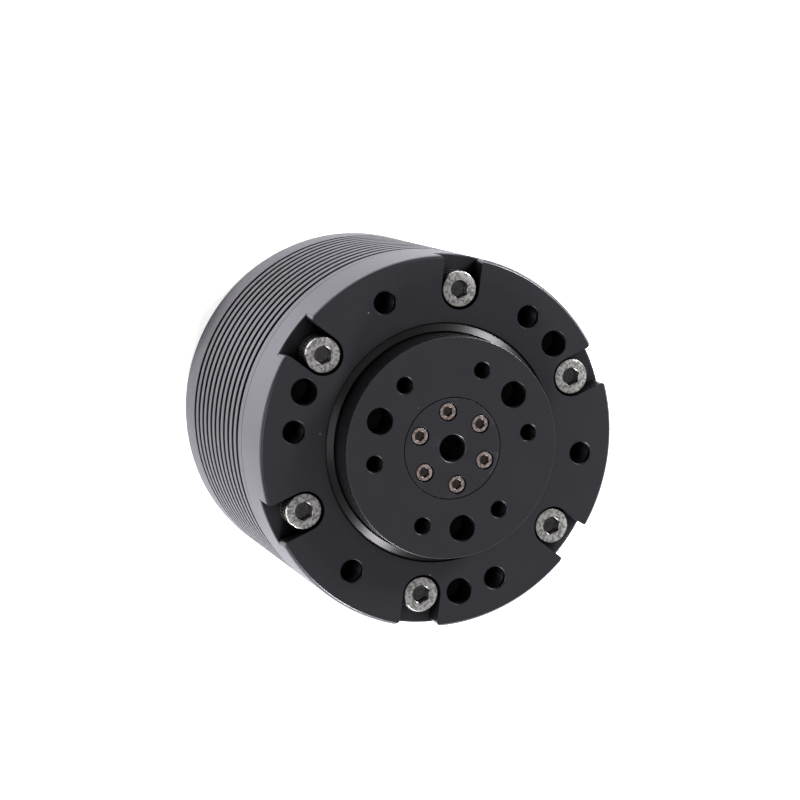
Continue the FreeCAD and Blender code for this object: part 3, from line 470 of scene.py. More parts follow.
# --- finishes ---
def anodised(tree, shader, band_radius=None, fade=0.0001, shade=0.85):
    """Black anodised aluminium with painted shade in its recesses, as deep as shade sets; past the band
    radius it fades into grey, a painted reflection of the black finish seen edge-on.
    """
    look = bpy.context.scene.actuator_finish
    feed(tree, shader, Specular_IOR_Level=look.black_gloss, Specular_Tint=(0.9, 0.88, 1.0, 1.0))
    grain = effect(tree, "Blasted grain", Scale=5200.0, Mottle=240.0)
    marks = effect(tree, "Turning marks", Rings=8000.0, Waver=30.0)
    specks = effect(tree, "Dust specks", Scale=300.0, Size=0.035)["Mask"]
    black = mottled(tree, grain["Mottle"], look.black, 0.82, 1.2)
    black = blend(tree, specks, black, scaled(look.black, 14.0))
    rough = span(tree, grain["Pits"], look.black_roughness - 0.06, look.black_roughness + 0.06)
    wear = effect(tree, "Edge lines", Width=0.00012, Breaks=2600.0)
    # Lighter broken lines along sharp edges: worn anodising and a painted highlight together.
    wear_and_highlight = calc(tree, "MULTIPLY", wear["Mask"], 0.06)
    black = blend(tree, wear_and_highlight, black, scaled(look.black, 12.0))
    # Painted shade: where walls stand close round a spot, the black darkens and grows rougher, by the
    # share that shade gives.
    open_face = effect(tree, "Cavity", Reach=0.003)["Open"]
    painted_shade_and_edges = calc(tree, "MULTIPLY", calc(tree, "SUBTRACT", 1.0, open_face), shade)
    black = blend(tree, painted_shade_and_edges, black, scaled(look.black, 0.3))
    rough = calc(tree, "ADD", rough, calc(tree, "MULTIPLY", painted_shade_and_edges, 0.25))
    rough = calc(tree, "ADD", rough, calc(tree, "MULTIPLY", wear["Edge"], 0.55))
    # Sharp edges join the painted shade only for the metal below, which dulls their glints.
    painted_shade_and_edges = calc(tree, "MAXIMUM", painted_shade_and_edges, wear["Edge"])
    # Painted reflection: past the band radius the colour turns grey, standing in for the black finish's
    # edge-on reflection, laid on as a turned grey band.
    if band_radius:
        band = effect(tree, "Outer band", Radius=band_radius, Softness=fade)["Mask"]
        sheen_skin = mottled(tree, marks["Shade"], look.band, 0.86, 1.14)
        colour = blend(tree, band, black, sheen_skin)
        band_rough = span(tree, marks["Height"], look.band_roughness - 0.08, look.band_roughness + 0.08)
        mix = add_node(tree, "ShaderNodeMix", {"data_type": "FLOAT"}, Factor=band, A=rough, B=band_rough)
        rough = mix.outputs[0]
        metal = calc(tree, "MAXIMUM", calc(tree, "MULTIPLY", band, 0.4), painted_shade_and_edges)
    else:
        colour, metal = black, painted_shade_and_edges
    feed(tree, shader, Base_Color=colour, Roughness=rough, Metallic=metal)
    height = calc(tree, "ADD", calc(tree, "MULTIPLY", marks["Height"], 0.5), grain["Pits"])
    bump(tree, shader, height, 0.000004, 0.35)


def turned_metal(tree, shader, colour, roughness, rings=7000.0, anisotropy=0.0, depth=0.000004):
    """Bright metal with lathe rings; a high anisotropy draws its highlights out across them."""
    marks = effect(tree, "Turning marks", Rings=rings, Waver=40.0)
    grain = effect(tree, "Blasted grain", Scale=3000.0, Mottle=400.0)
    tint = mottled(tree, marks["Shade"], colour, 0.8, 1.15)
    tint = blend(tree, calc(tree, "MULTIPLY", grain["Mottle"], 0.3), tint, scaled(colour, 0.6))
    rough = span(tree, marks["Height"], roughness * 0.75, roughness * 1.3)
    feed(tree, shader, Base_Color=tint, Roughness=rough, Metallic=1.0, Anisotropic=anisotropy)
    if anisotropy:
        tangent = add_node(tree, "ShaderNodeTangent", {"direction_type": "RADIAL", "axis": "Z"})
        feed(tree, shader, Tangent=tangent.outputs[0], Anisotropic_Rotation=0.25)
    bump(tree, shader, marks["Height"], depth)


def plated_steel(tree, shader, colour, roughness):
    """Nickel-plated screw steel with small tool marks and dull spots, with painted shade along its sharp
    edges and deep in its socket.
    """
    grain = effect(tree, "Blasted grain", Scale=2600.0, Mottle=2100.0)
    edge = effect(tree, "Edge lines", Width=0.00022, Breaks=2000.0)["Edge"]
    dull = add_node(tree, "ShaderNodeMapRange", Value=grain["Mottle"], From_Min=0.43, From_Max=0.55)
    tint = blend(tree, dull.outputs[0], scaled(colour, 0.35), colour)
    # Painted shade: the colour darkens along the sharp edges of the head and socket.
    tint = blend(tree, calc(tree, "MULTIPLY", edge, 0.75), tint, scaled(colour, 0.22))
    # Painted shade: the colour darkens deep in the socket, where walls stand close.
    tint = blend(tree, effect(tree, "Cavity", Reach=0.0022)["Open"], scaled(colour, 0.17), tint)
    rough = span(tree, grain["Mottle"], roughness * 1.6, roughness * 0.6)
    feed(tree, shader, Base_Color=tint, Roughness=rough, Metallic=1.0)
    bump(tree, shader, grain["Pits"], 0.00002, 0.6)


def moulded(tree, shader, colour, roughness, scale=2500.0):
    """Moulded plastic or rubber with a fine skin."""
    grain = effect(tree, "Blasted grain", Scale=scale, Mottle=300.0)
    tint = mottled(tree, grain["Mottle"], colour, 0.8, 1.25)
    rough = span(tree, grain["Pits"], roughness - 0.1, roughness + 0.1)
    feed(tree, shader, Base_Color=tint, Roughness=rough)
    bump(tree, shader, grain["Pits"], 0.00001, 0.5)


def stacked(tree, shader, colour, line_colour, metallic, roughness, sheets):
    """Laminated or wound metal, with dark lines between its sheets or turns."""
    line = effect(tree, "Stacked sheets", Sheets=sheets)["Line"]
    grain = effect(tree, "Blasted grain", Scale=2500.0, Mottle=500.0)
    deep = calc(tree, "POWER", line, 4.0)
    tint = mottled(tree, grain["Mottle"], colour, 0.8, 1.2)
    tint = blend(tree, deep, tint, line_colour)
    rough = span(tree, grain["Pits"], roughness - 0.08, roughness + 0.12)
    feed(tree, shader, Base_Color=tint, Roughness=rough, Metallic=metallic)
    bump(tree, shader, calc(tree, "SUBTRACT", 1.0, deep), 0.00004, 0.6)


def solder_mask(tree, shader, colour):
    """Green circuit board: tracks under the mask and gold pads between them."""
    place = own_place(tree)
    tracks = add_node(tree, "ShaderNodeTexBrick", {"offset": 0.5}, Vector=place, Scale=420.0,
                      Mortar_Size=0.03, Color1=(1, 1, 1, 1), Color2=(0.8, 0.8, 0.8, 1),
                      Mortar=(0, 0, 0, 1))
    pads = add_node(tree, "ShaderNodeTexVoronoi", Vector=place, Scale=700.0)
    pad = calc(tree, "LESS_THAN", pads.outputs["Distance"], 0.12)
    tint = blend(tree, tracks.outputs["Fac"], colour, scaled(colour, 1.9))
    tint = blend(tree, pad, tint, (0.6, 0.42, 0.14))
    feed(tree, shader, Base_Color=tint, Roughness=span(tree, pad, 0.35, 0.25), Coat_Weight=0.5)
    bump(tree, shader, tracks.outputs["Fac"], 0.00002, 0.5)


def satin_grey(tree, shader):
    """Satin lavender-grey anodised aluminium."""
    turned_metal(tree, shader, bpy.context.scene.actuator_finish.band, 0.42, 6000.0)


FINISHES = {        # material name: its maker and what the maker is given
    "black_anodised": (anodised,),
    # Flange and fins: their grey band is a painted reflection. The flange's band starts further in and
    # also paints highlights on the notch corners. The fins' 0.3 weakens the painted shade in the grooves.
    "flange_anodised": (anodised, BODY_R - 0.0002, 0.00008),
    "fin_anodised": (anodised, BODY_R - 0.00003, 0.00002, 0.3),
    "grey_anodised": (satin_grey,),
    "satin_nickel": (plated_steel, (0.5, 0.485, 0.48), 0.32),
    "warm_nickel": (plated_steel, (0.46, 0.38, 0.36), 0.32),
    "blackened_seal_steel": (turned_metal, (0.082, 0.079, 0.082), 0.47, 9000.0, 1.0, 0.000002),
    "gear_steel": (turned_metal, (0.42, 0.42, 0.43), 0.32),
    "bearing_steel": (turned_metal, (0.62, 0.62, 0.63), 0.16, 12000.0),
    "machined_aluminium": (turned_metal, (0.64, 0.64, 0.66), 0.34, 5000.0),
    "magnet_nickel": (turned_metal, (0.55, 0.54, 0.52), 0.24, 2500.0),
    "contact_brass": (turned_metal, (0.72, 0.52, 0.22), 0.28),
    "copper_winding": (stacked, (0.62, 0.25, 0.1), (0.15, 0.05, 0.02), 0.9, 0.3, 1700.0),
    "stator_sheets": (stacked, (0.2, 0.2, 0.21), (0.03, 0.03, 0.03), 0.8, 0.42, 2000.0),
    "chip_epoxy": (moulded, (0.025, 0.025, 0.028), 0.45),
    "socket_nylon": (moulded, (0.03, 0.03, 0.032), 0.5, 1800.0),
    "seal_rubber": (moulded, (0.02, 0.02, 0.02), 0.62, 1600.0),
    "cage_polyamide": (moulded, (0.5, 0.42, 0.26), 0.5, 1500.0),
    "solder_mask": (solder_mask, (0.012, 0.12, 0.05)),
}


def finish(name):
    """A finish by its name, made the first time that it is asked for."""
    material = bpy.data.materials.get(name)
    if not material:
        material, tree, shader = new_material(name)
        maker, *given = FINISHES[name]
        maker(tree, shader, *given)
    return material


# --- what a user may change ---
def length_property(name, description, default, low=0.0):
    """Length setting in metres."""
    return FloatProperty(name=name, description=description, default=default, min=low,
                         unit="LENGTH", precision=5)


def factor_property(name, description, default):
    """Setting from 0 to 1."""
    return FloatProperty(name=name, description=description, default=default, min=0.0, max=1.0,
                         subtype="FACTOR")


def colour_property(name, description, default):
    """Colour setting."""
    return FloatVectorProperty(name=name, description=description, default=default, size=3,
                               subtype="COLOR", min=0.0, max=1.0)


class ActuatorHousing(PropertyGroup):
    """Sizes of the two housings."""
    groove_pitch: length_property("Groove pitch", "Distance from one groove to the next", 0.0024)
    groove_width: length_property("Groove width", "Width of each cooling groove", 0.001)
    groove_depth: length_property("Groove depth", "Depth of each cooling groove", 0.0012)
    groove_count: IntProperty(name="Grooves", description="Number of cooling grooves", default=11, min=1)
    rim_chamfer: length_property("Rim chamfer", "Chamfer round the mounting face", 0.0004)
    edge_round: length_property("Edge round", "Small round on turned edges", 0.00012)
    rear_round: length_property("Rear round", "Round on the rear edge", 0.0006)
    notch_width: length_property("Notch width", "Width of the open notch round each screw head", 0.006)
    notch_corner: length_property("Notch corner", "Round where a notch meets the rim", 0.0008)
    head_height: length_property("Head height", "Height of a flange screw's head", 0.003)
    head_radius: length_property("Head radius", "Radius of a flange screw's head", 0.00275)
    first_screw: FloatProperty(name="First screw", description="Turn from a dowel hole to the first screw",
                               default=math.radians(-15), subtype="ANGLE")
    segments: IntProperty(name="Segments", description="Facets round the body", default=288, min=24)


class ActuatorBoss(PropertyGroup):
    """Sizes of the output boss, its cap and its screws."""
    edge_chamfer: length_property("Edge chamfer", "Chamfer round the boss", 0.00006)
    centre_hole: length_property("Centre hole", "Radius of the hole in the cap", 0.002)
    cap_gap: length_property("Cap gap", "Gap round the cap", 0.0001)
    screw_circle: length_property("Screw circle", "Radius of the cap's screw circle", 0.0055)
    screw_head: length_property("Screw head", "Radius of a cap screw's head", 0.0013)
    screw_pocket: length_property("Screw pocket", "Radius of the pocket round a cap screw's head", 0.00142)
    mouth_chamfer: length_property("Mouth chamfer", "Chamfer at the mouth of a tapped hole", 0.00016)
    segments: IntProperty(name="Segments", description="Facets round the boss", default=224, min=24)


class ActuatorFinish(PropertyGroup):
    """Colours and gloss of the finishes."""
    black: colour_property("Black", "Black anodised surfaces", (0.0047, 0.0045, 0.0055))
    # Band: grey that paints the edge-on reflection of the black housings; the rear cover takes it as its
    # own colour.
    band: colour_property("Band", "Grey outer skin of both housings", (0.08, 0.0765, 0.084))
    black_roughness: factor_property("Black roughness", "Roughness of the black finish", 0.3)
    band_roughness: factor_property("Band roughness", "Roughness of the outer skin", 0.46)
    black_gloss: factor_property("Black gloss", "Reflection of the black finish", 0.5)
    floor: colour_property("Floor", "Colour of the floor", (0.8, 0.8, 0.8))


# --- the mounting flange and the finned body ---
def notch_cutter(housing):
    """Cutter for one screw notch: round end, parallel walls, rounded corners at the rim."""
    half, corner = housing.notch_width / 2, housing.notch_corner
    centre_x = math.sqrt((BODY_R - corner) ** 2 - (half + corner) ** 2)
    lean = math.atan2(half + corner, centre_x)
    far = BODY_R + 2 * OVERSHOOT
    upper = arc((centre_x, half + corner), corner, -math.pi / 2, lean, steps=6)
    upper.append((far * math.cos(lean), far * math.sin(lean)))
    lower = [(x, -y) for x, y in reversed(upper)]
    end = arc((FLANGE_CIRCLE, 0), half, 1.5 * math.pi, 0.5 * math.pi, steps=28)
    floor_z = SCREW_TOP_Z - housing.head_height
    return prism("notch_cutter", end + upper + lower, floor_z, FACE_Z - floor_z + OVERSHOOT)


class ACTUATOR_OT_mounting_flange(Operator):
    """Front housing with its notches, threads and dowel holes"""
    bl_idname = "actuator.mounting_flange"
    bl_label = "Mounting flange"
    bl_options = {"REGISTER", "UNDO"}

    def execute(self, context):
        housing, boss = context.scene.actuator_housing, context.scene.actuator_boss
        edge, rim = housing.edge_round, housing.rim_chamfer
        bore, step_z = SEAL_R + SEAT_GAP, SEAL_LOW_Z - SEAT_GAP
        bearing, lip = BEARING_R + SEAT_GAP, BEARING_R - RACE_LIP
        inner, relief_z = bore - SEAL_STEP, BEARING_TOP_Z + RACE_RELIEF
        outline = [
            (bearing, SEAM_Z), (BODY_R, SEAM_Z, edge), (BODY_R, FACE_Z - rim, edge / 2),
            (BODY_R - rim, FACE_Z, edge / 2), (bore, FACE_Z, edge), (bore, step_z), (inner, step_z),
            (inner, relief_z), (lip, relief_z), (lip, BEARING_TOP_Z), (bearing, BEARING_TOP_Z),
        ]
        flange = turned("mounting_flange", outline, housing.segments)
        floor_z = SCREW_TOP_Z - housing.head_height
        shank_hole = plain_hole("shank_hole", FLANGE_SHANK_R + SEAT_GAP, floor_z + OVERSHOOT,
                                floor_z - SEAM_Z + 4 * OVERSHOOT, segments=32)
        thread = threaded_hole("flange_thread", FLANGE_THREAD_R, FACE_Z, *FLANGE_TAP,
                               boss.mouth_chamfer, segments=48)
        dowel = plain_hole("flange_dowel", FLANGE_DOWEL_R, FACE_Z, DOWEL_DEPTH, segments=48,
                           chamfer=DOWEL_CHAMFER)
        carve(flange,
              ring_of(notch_cutter(housing), 0.0, FLANGE_THREADS, housing.first_screw),
              ring_of(shank_hole, FLANGE_CIRCLE, FLANGE_THREADS, housing.first_screw),
              ring_of(thread, FLANGE_CIRCLE, FLANGE_THREADS, -housing.first_screw),
              ring_of(dowel, FLANGE_CIRCLE, FLANGE_DOWELS))
        finish_piece(flange, "housing", "front_housing", "flange_anodised", "front_housing")
        return {"FINISHED"}


class ACTUATOR_OT_finned_body(Operator):
    """Rear housing with its cooling grooves"""
    bl_idname = "actuator.finned_body"
    bl_label = "Finned body"
    bl_options = {"REGISTER", "UNDO"}

    def execute(self, context):
        housing = context.scene.actuator_housing
        bush_lip, bush_wall, web, plate_seat, mouth = 0.0011, 0.0014, 0.0012, 0.0031, 0.0002
        edge, half = housing.edge_round, housing.groove_width / 2
        bottom = BODY_R - housing.groove_depth
        bearing, bay = BEARING_R + SEAT_GAP, COVER_R + BAY_GAP
        stator = node_span("stator_core")[0] + SEAT_GAP
        bush, bush_low, bush_high = node_span("front_bearing_outer_ring")
        end_plate_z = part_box("motor_end_plate")[1].z - plate_seat
        web_z = node_span("ring_gear")[1] - SEAT_GAP
        motor_z = web_z - web
        outline = [(BODY_R, 0, housing.rear_round)]
        for i in range(housing.groove_count, 0, -1):
            middle = SEAM_Z - i * housing.groove_pitch
            outline += [(BODY_R, middle - half, edge), (bottom, middle - half, edge),
                        (bottom, middle + half, edge), (BODY_R, middle + half, edge)]
        outline += [
            (BODY_R, SEAM_Z, edge), (bearing, SEAM_Z), (bearing, web_z), (bush - bush_lip, web_z),
            (bush - bush_lip, bush_high), (bush + SEAT_GAP, bush_high), (bush + SEAT_GAP, bush_low),
            (bush + bush_wall, bush_low), (bush + bush_wall, motor_z), (stator, motor_z),
            (stator, end_plate_z), (bay, end_plate_z), (bay, 0, edge),
        ]
        body = turned("finned_body", outline, housing.segments)
        thread = threaded_hole("body_thread", FLANGE_SHANK_R, SEAM_Z, *SCREW_TAP, mouth, segments=24)
        carve(body, ring_of(thread, FLANGE_CIRCLE, FLANGE_THREADS, housing.first_screw))
        finish_piece(body, "housing", "finned_housing", "fin_anodised", "finned_housing")
        return {"FINISHED"}


# --- the output boss and its cap ---
class ACTUATOR_OT_output_boss(Operator):
    """Turning output flange with its tapped and dowel holes"""
    bl_idname = "actuator.output_boss"
    bl_label = "Output boss"
    bl_options = {"REGISTER", "UNDO"}

    def execute(self, context):
        boss = context.scene.actuator_boss
        edge, cavity, journal_step = 0.00003, 0.0035, 0.00195
        journal = node_span("output_bearing_inner_ring")[0] - journal_step
        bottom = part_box("output_flange")[0].z
        seat = CAP_LOW_Z - SEAT_GAP
        outline = [
            (cavity, bottom), (journal, bottom), (journal, BEARING_TOP_Z), (BOSS_R, BEARING_TOP_Z),
            (BOSS_R, BOSS_Z - boss.edge_chamfer, edge), (BOSS_R - boss.edge_chamfer, BOSS_Z, edge),
            (CAP_R + boss.cap_gap, BOSS_Z, edge), (CAP_R + boss.cap_gap, seat), (cavity, seat),
        ]
        piece = turned("output_boss", outline, boss.segments)
        thread = threaded_hole("boss_thread", BOSS_THREAD_R, BOSS_Z, *BOSS_TAP, boss.mouth_chamfer,
                               segments=40)
        dowel = plain_hole("boss_dowel", BOSS_DOWEL_R, BOSS_Z, DOWEL_DEPTH, segments=48,
                           chamfer=DOWEL_CHAMFER)
        screw_hole = plain_hole("cap_thread", CAP_SHANK_R + SEAT_GAP, seat,
                                seat - CAP_SCREW_LOW_Z + SEAT_GAP, segments=16)
        pin_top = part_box("second_stage_pins")[1].z
        pin_seat = plain_hole("pin_seat", PIN_R + SEAT_GAP, pin_top - OVERSHOOT, pin_top - bottom,
                              segments=24)
        carve(piece,
              ring_of(thread, BOSS_CIRCLE, BOSS_THREADS, math.pi / BOSS_THREADS),
              ring_of(dowel, BOSS_CIRCLE, BOSS_DOWELS),
              ring_of(screw_hole, boss.screw_circle, CAP_SCREWS),
              ring_of(pin_seat, PIN_CIRCLE, BOSS_DOWELS))
        finish_piece(piece, "output", "output_flange", "black_anodised", "output_flange")
        return {"FINISHED"}


class ACTUATOR_OT_boss_cap(Operator):
    """Flush round cap with its screw pockets"""
    bl_idname = "actuator.boss_cap"
    bl_label = "Boss cap"
    bl_options = {"REGISTER", "UNDO"}

    def execute(self, context):
        boss = context.scene.actuator_boss
        edge, pocket_chamfer = 0.00006, 0.00005
        hole, chamfer = boss.centre_hole, boss.mouth_chamfer
        outline = [(hole, CAP_LOW_Z), (CAP_R, CAP_LOW_Z), (CAP_R, BOSS_Z, edge),
                   (hole + chamfer, BOSS_Z, edge / 2), (hole, BOSS_Z - chamfer, edge / 2)]
        cap = turned("boss_cap", outline, segments=160)
        seat = CAP_SCREW_Z - CAP_HEAD_HEIGHT
        pocket = plain_hole("screw_pocket", boss.screw_pocket, BOSS_Z, BOSS_Z - seat, segments=40,
                            chamfer=pocket_chamfer)
        through = plain_hole("screw_through", CAP_SHANK_R + SEAT_GAP, seat + OVERSHOOT, 6 * OVERSHOOT,
                             segments=16)
        carve(cap,
              ring_of(pocket, boss.screw_circle, CAP_SCREWS),
              ring_of(through, boss.screw_circle, CAP_SCREWS))
        finish_piece(cap, "output", "centre_cap", "black_anodised", "centre_cap")
        return {"FINISHED"}


# --- screws ---
def hexagon(flat):
    """Corners of a hexagon, half of whose width across flats is given."""
    corner = flat / math.cos(math.pi / HEX_SIDES)
    angles = [TURN * i / HEX_SIDES for i in range(HEX_SIDES)]
    return [(corner * math.cos(a), corner * math.sin(a)) for a in angles]


def socket_screw(name, head, height, shank, length, across_flats, top_z, ribs, knurled):
    """Socket head cap screw: rounded head, knurled side if asked, hex socket with a drilled cone."""
    seat = top_z - height
    tip = seat - length
    edge = head * 0.055
    outline = [(0, tip), (shank * 0.8, tip), (shank, tip + shank * 0.25), (shank, seat),
               (head, seat, edge / 3), (head, top_z - 3 * edge, edge / 3), (head - edge, top_z, edge / 3),
               (0, top_z)]
    screw = turned(name, outline, segments=ribs * 2, steps=3)
    if knurled:
        knurl(screw, head, ribs)
    flat = across_flats / 2
    corner = flat / math.cos(math.pi / HEX_SIDES)
    floor_z = top_z - height * 0.55
    socket = prism("hex_socket", hexagon(flat), floor_z, top_z - floor_z + OVERSHOOT)
    drill, lead_z = flat * 0.98, top_z - corner * 0.12
    mouth, mouth_z = corner + OVERSHOOT, lead_z + corner + OVERSHOOT - drill
    lead_in = turned("socket_lead_in", [(0, floor_z - flat / 2), (drill, floor_z), (drill, lead_z),
                                        (mouth, mouth_z), (0, mouth_z)],
                     segments=36)
    return carve(screw, socket, lead_in)


def knurl(screw, head, ribs):
    """Draws every other upright line of the head's side in towards the axis."""
    take(screw)
    bpy.ops.object.mode_set(mode="EDIT")
    bpy.ops.mesh.select_mode(type="VERT")
    bpy.ops.mesh.select_all(action="DESELECT")
    mesh = bmesh.from_edit_mesh(screw.data)
    for vertex in mesh.verts:
        on_side = abs(vertex.co.xy.length - head) < 4 * MERGE
        step = round(math.atan2(vertex.co.y, vertex.co.x) / TURN * ribs * 2)
        vertex.select = on_side and step % 2 == 1
    bmesh.update_edit_mesh(screw.data)
    bpy.ops.transform.resize(value=(KNURL_DRAW, KNURL_DRAW, 1), center_override=(0, 0, 0))
    bpy.ops.object.mode_set(mode="OBJECT")


class ACTUATOR_OT_screws(Operator):
    """Six socket head screws in the flange notches and six small ones in the boss cap"""
    bl_idname = "actuator.screws"
    bl_label = "Screws"
    bl_options = {"REGISTER", "UNDO"}

    def execute(self, context):
        housing, boss = context.scene.actuator_housing, context.scene.actuator_boss
        length = SCREW_TOP_Z - housing.head_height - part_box("flange_screws")[0].z
        screw = socket_screw("flange_screw_set", housing.head_radius, housing.head_height, FLANGE_SHANK_R,
                             length, FLANGE_FLATS, SCREW_TOP_Z, ribs=36, knurled=True)
        ring_of(screw, FLANGE_CIRCLE, FLANGE_THREADS, housing.first_screw)
        finish_piece(screw, "housing", "screw_nickel", "satin_nickel", "flange_screws")

        length = CAP_SCREW_Z - CAP_HEAD_HEIGHT - CAP_SCREW_LOW_Z
        screw = socket_screw("cap_screw_set", boss.screw_head, CAP_HEAD_HEIGHT, CAP_SHANK_R, length,
                             CAP_FLATS, CAP_SCREW_Z, ribs=24, knurled=False)
        ring_of(screw, boss.screw_circle, CAP_SCREWS)
        finish_piece(screw, "output", "screw_nickel", "warm_nickel", "cap_screws")
        return {"FINISHED"}


# --- seal and rear ---
class ACTUATOR_OT_seal_ring(Operator):
    """Turned metal ring of the seal, round the boss"""
    bl_idname = "actuator.seal_ring"
    bl_label = "Seal ring"
    bl_options = {"REGISTER", "UNDO"}

    def execute(self, context):
        run_gap, lip, chamfer = 0.00025, 0.0008, 0.0002
        inner, wall = BOSS_R + run_gap, SEAL_R - SEAL_STEP
        outline = [(wall, SEAL_LOW_Z), (SEAL_R, SEAL_LOW_Z), (SEAL_R, SEAL_Z - chamfer),
                   (SEAL_R - chamfer, SEAL_Z), (inner, SEAL_Z), (inner, SEAL_Z - lip),
                   (wall, SEAL_Z - lip)]
        ring = turned("seal_ring", outline, context.scene.actuator_boss.segments)
        finish_piece(ring, "housing", "turned_steel", "blackened_seal_steel", "seal_case")
        return {"FINISHED"}


def footprint(node, margin):
    """Corners of a node's box from above, grown by a margin."""
    low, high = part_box(node)
    left, right, front, back = low.x - margin, high.x + margin, low.y - margin, high.y + margin
    return [(left, front), (right, front), (right, back), (left, back)]


class ACTUATOR_OT_rear_cover(Operator):
    """Flat rear cover with its socket windows, and its four flush screws"""
    bl_idname = "actuator.rear_cover"
    bl_label = "Rear cover"
    bl_options = {"REGISTER", "UNDO"}

    def execute(self, context):
        edge, head_edge, window_gap, window_corner = 0.0004, 0.00006, 0.0002, 0.0004
        circle, count, gap = 0.02216, 4, SEAT_GAP
        head, shank, height, socket_flat, socket_depth = 0.0019, 0.001, 0.0009, 0.00065, 0.0007
        over = COVER_Z + OVERSHOOT
        cover = turned("rear_plate", [(0, 0), (COVER_R, 0, edge), (COVER_R, COVER_Z), (0, COVER_Z)],
                       segments=224)
        for node in SOCKETS:
            window = prism("window_cutter", footprint(node, window_gap), -OVERSHOOT, over + OVERSHOOT)
            soften(window, window_corner, steps=4)
            carve(cover, window)
        sink = turned("sink_cutter", [(0, -OVERSHOOT), (head + gap, -OVERSHOOT), (head + gap, 0),
                                      (shank + gap, height), (shank + gap, over), (0, over)],
                      segments=48)
        carve(cover, ring_of(sink, circle, count, math.pi / count))
        finish_piece(cover, "housing", "rear_cover", "grey_anodised", "rear_cover")

        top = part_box("rear_cover_screws")[1].z
        screw = turned("rear_cover_screw_set", [(0, 0), (head, 0, head_edge), (shank, height),
                                                (shank, top), (0, top)], segments=48)
        carve(screw, prism("hex_socket", hexagon(socket_flat), -OVERSHOOT, socket_depth + OVERSHOOT))
        ring_of(screw, circle, count, math.pi / count)
        finish_piece(screw, "housing", "screw_nickel", "satin_nickel", "rear_cover_screws")
        return {"FINISHED"}


class ACTUATOR_OT_sockets(Operator):
    """Supply and data socket shells behind the rear cover's windows"""
    bl_idname = "actuator.sockets"
    bl_label = "Sockets"
    bl_options = {"REGISTER", "UNDO"}

    def execute(self, context):
        wall, corner, rim = 0.0008, 0.0003, 0.00008
        for node in SOCKETS:
            low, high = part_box(node)
            shell = prism(f"{node}_shell", footprint(node, 0.0), low.z, high.z - low.z)
            cavity = prism("socket_cavity", footprint(node, -wall), low.z - OVERSHOOT,
                           high.z - wall - low.z + OVERSHOOT)
            soften(shell, corner, steps=3)
            carve(shell, cavity)
            soften(shell, rim, steps=1)
            finish_piece(shell, "housing", "socket_plastic", "socket_nylon", node)
        return {"FINISHED"}


# --- finishes of the solids that stay ---
SLOT_FINISHES = {       # slots whose finish has another name
    "screw_nickel": "satin_nickel",
    "carrier_aluminium": "machined_aluminium",
    "electrical_steel": "stator_sheets",
    "magnet": "magnet_nickel",
    "copper": "copper_winding",
    "cage_plastic": "cage_polyamide",
    "board_green": "solder_mask",
    "chip_black": "chip_epoxy",
    "socket_plastic": "socket_nylon",
    "turned_steel": "bearing_steel",
    "front_housing": "flange_anodised",
    "finned_housing": "fin_anodised",
    "output_flange": "black_anodised",
    "centre_cap": "black_anodised",
    "rear_cover": "grey_anodised",
}


class ACTUATOR_OT_inner_finishes(Operator):
    """Finishes of the gears, bearings, motor and electronics"""
    bl_idname = "actuator.inner_finishes"
    bl_label = "Inner finishes"
    bl_options = {"REGISTER", "UNDO"}

    def execute(self, context):
        for part in frame["record"]["subparts"]:
            solid, slot = frame["nodes"][part["node"]], part["material_slot"]
            solid.data.materials.clear()
            solid.data.materials.append(finish(SLOT_FINISHES.get(slot, slot)))
        return {"FINISHED"}


# --- floor, light and camera ---
AMBIENT = 0.38
FLOOR_GLOW = 0.55
SOFTBOXES = {           # place, side length, power
    "key_softbox": ((-0.5, 0.35, 0.55), 0.4, 2.0),
    "back_softbox": ((0.05, 0.6, 0.35), 0.4, 0.2),
    "side_softbox": ((0.5, 0.0, 0.3), 0.13, 9.5),
    "low_softbox": ((-0.4, -0.36, 0.3), 0.13, 11.5),
    "sheen_softbox": ((0.35, -0.5, 0.5), 0.4, 0.5),
}
CAMERA_PLACE = (-0.05582, 0.11527, 0.33485)
CAMERA_TURN = (-6.740, -20.987, -37.386)    # degrees
CAMERA_LENS = 96.474
CAMERA_SHIFT = (-0.03373, -0.11861)


def floor_material(colour):
    """Pale floor that shows white to the camera and keeps its shadow."""
    material, tree, shader = new_material("pale_floor")
    grain = effect(tree, "Blasted grain", Scale=900.0, Mottle=20.0)
    tint = mottled(tree, grain["Mottle"], colour, 0.99, 1.01)
    feed(tree, shader, Base_Color=tint, Roughness=0.9, Specular_IOR_Level=0.1)
    seen = add_node(tree, "ShaderNodeLightPath").outputs["Is Camera Ray"]
    glow = add_node(tree, "ShaderNodeEmission", Color=(1, 1, 1, 1),
                    Strength=calc(tree, "MULTIPLY", seen, FLOOR_GLOW))
    both = add_node(tree, "ShaderNodeAddShader", i0=shader.outputs[0], i1=glow.outputs[0])
    feed(tree, tree.nodes["Material Output"], Surface=both.outputs[0])
    return material


def studio_world(scene, ambient):
    """White surroundings for the camera, with a plain ambient light."""
    world = scene.world or bpy.data.worlds.new("studio")
    scene.world = world
    world.use_nodes = True
    tree = world.node_tree
    tree.nodes.clear()
    seen = add_node(tree, "ShaderNodeLightPath").outputs["Is Camera Ray"]
    strength = add_node(tree, "ShaderNodeMapRange", Value=seen, To_Min=ambient, To_Max=1.0).outputs[0]
    sky = add_node(tree, "ShaderNodeBackground", Color=(1, 1, 1, 1), Strength=strength)
    add_node(tree, "ShaderNodeOutputWorld", Surface=sky.outputs[0])


def softbox(name, place, target, size, power):
    """Square area light that faces a point."""
    deselect()
    bpy.ops.object.light_add(type="AREA", location=place)
    lamp = bpy.context.object
    lamp.name = name
    lamp.data.shape = "SQUARE"
    lamp.data.size = size
    lamp.data.energy = power
    lamp.rotation_euler = (Vector(target) - Vector(place)).to_track_quat("-Z", "Y").to_euler()
    return lamp


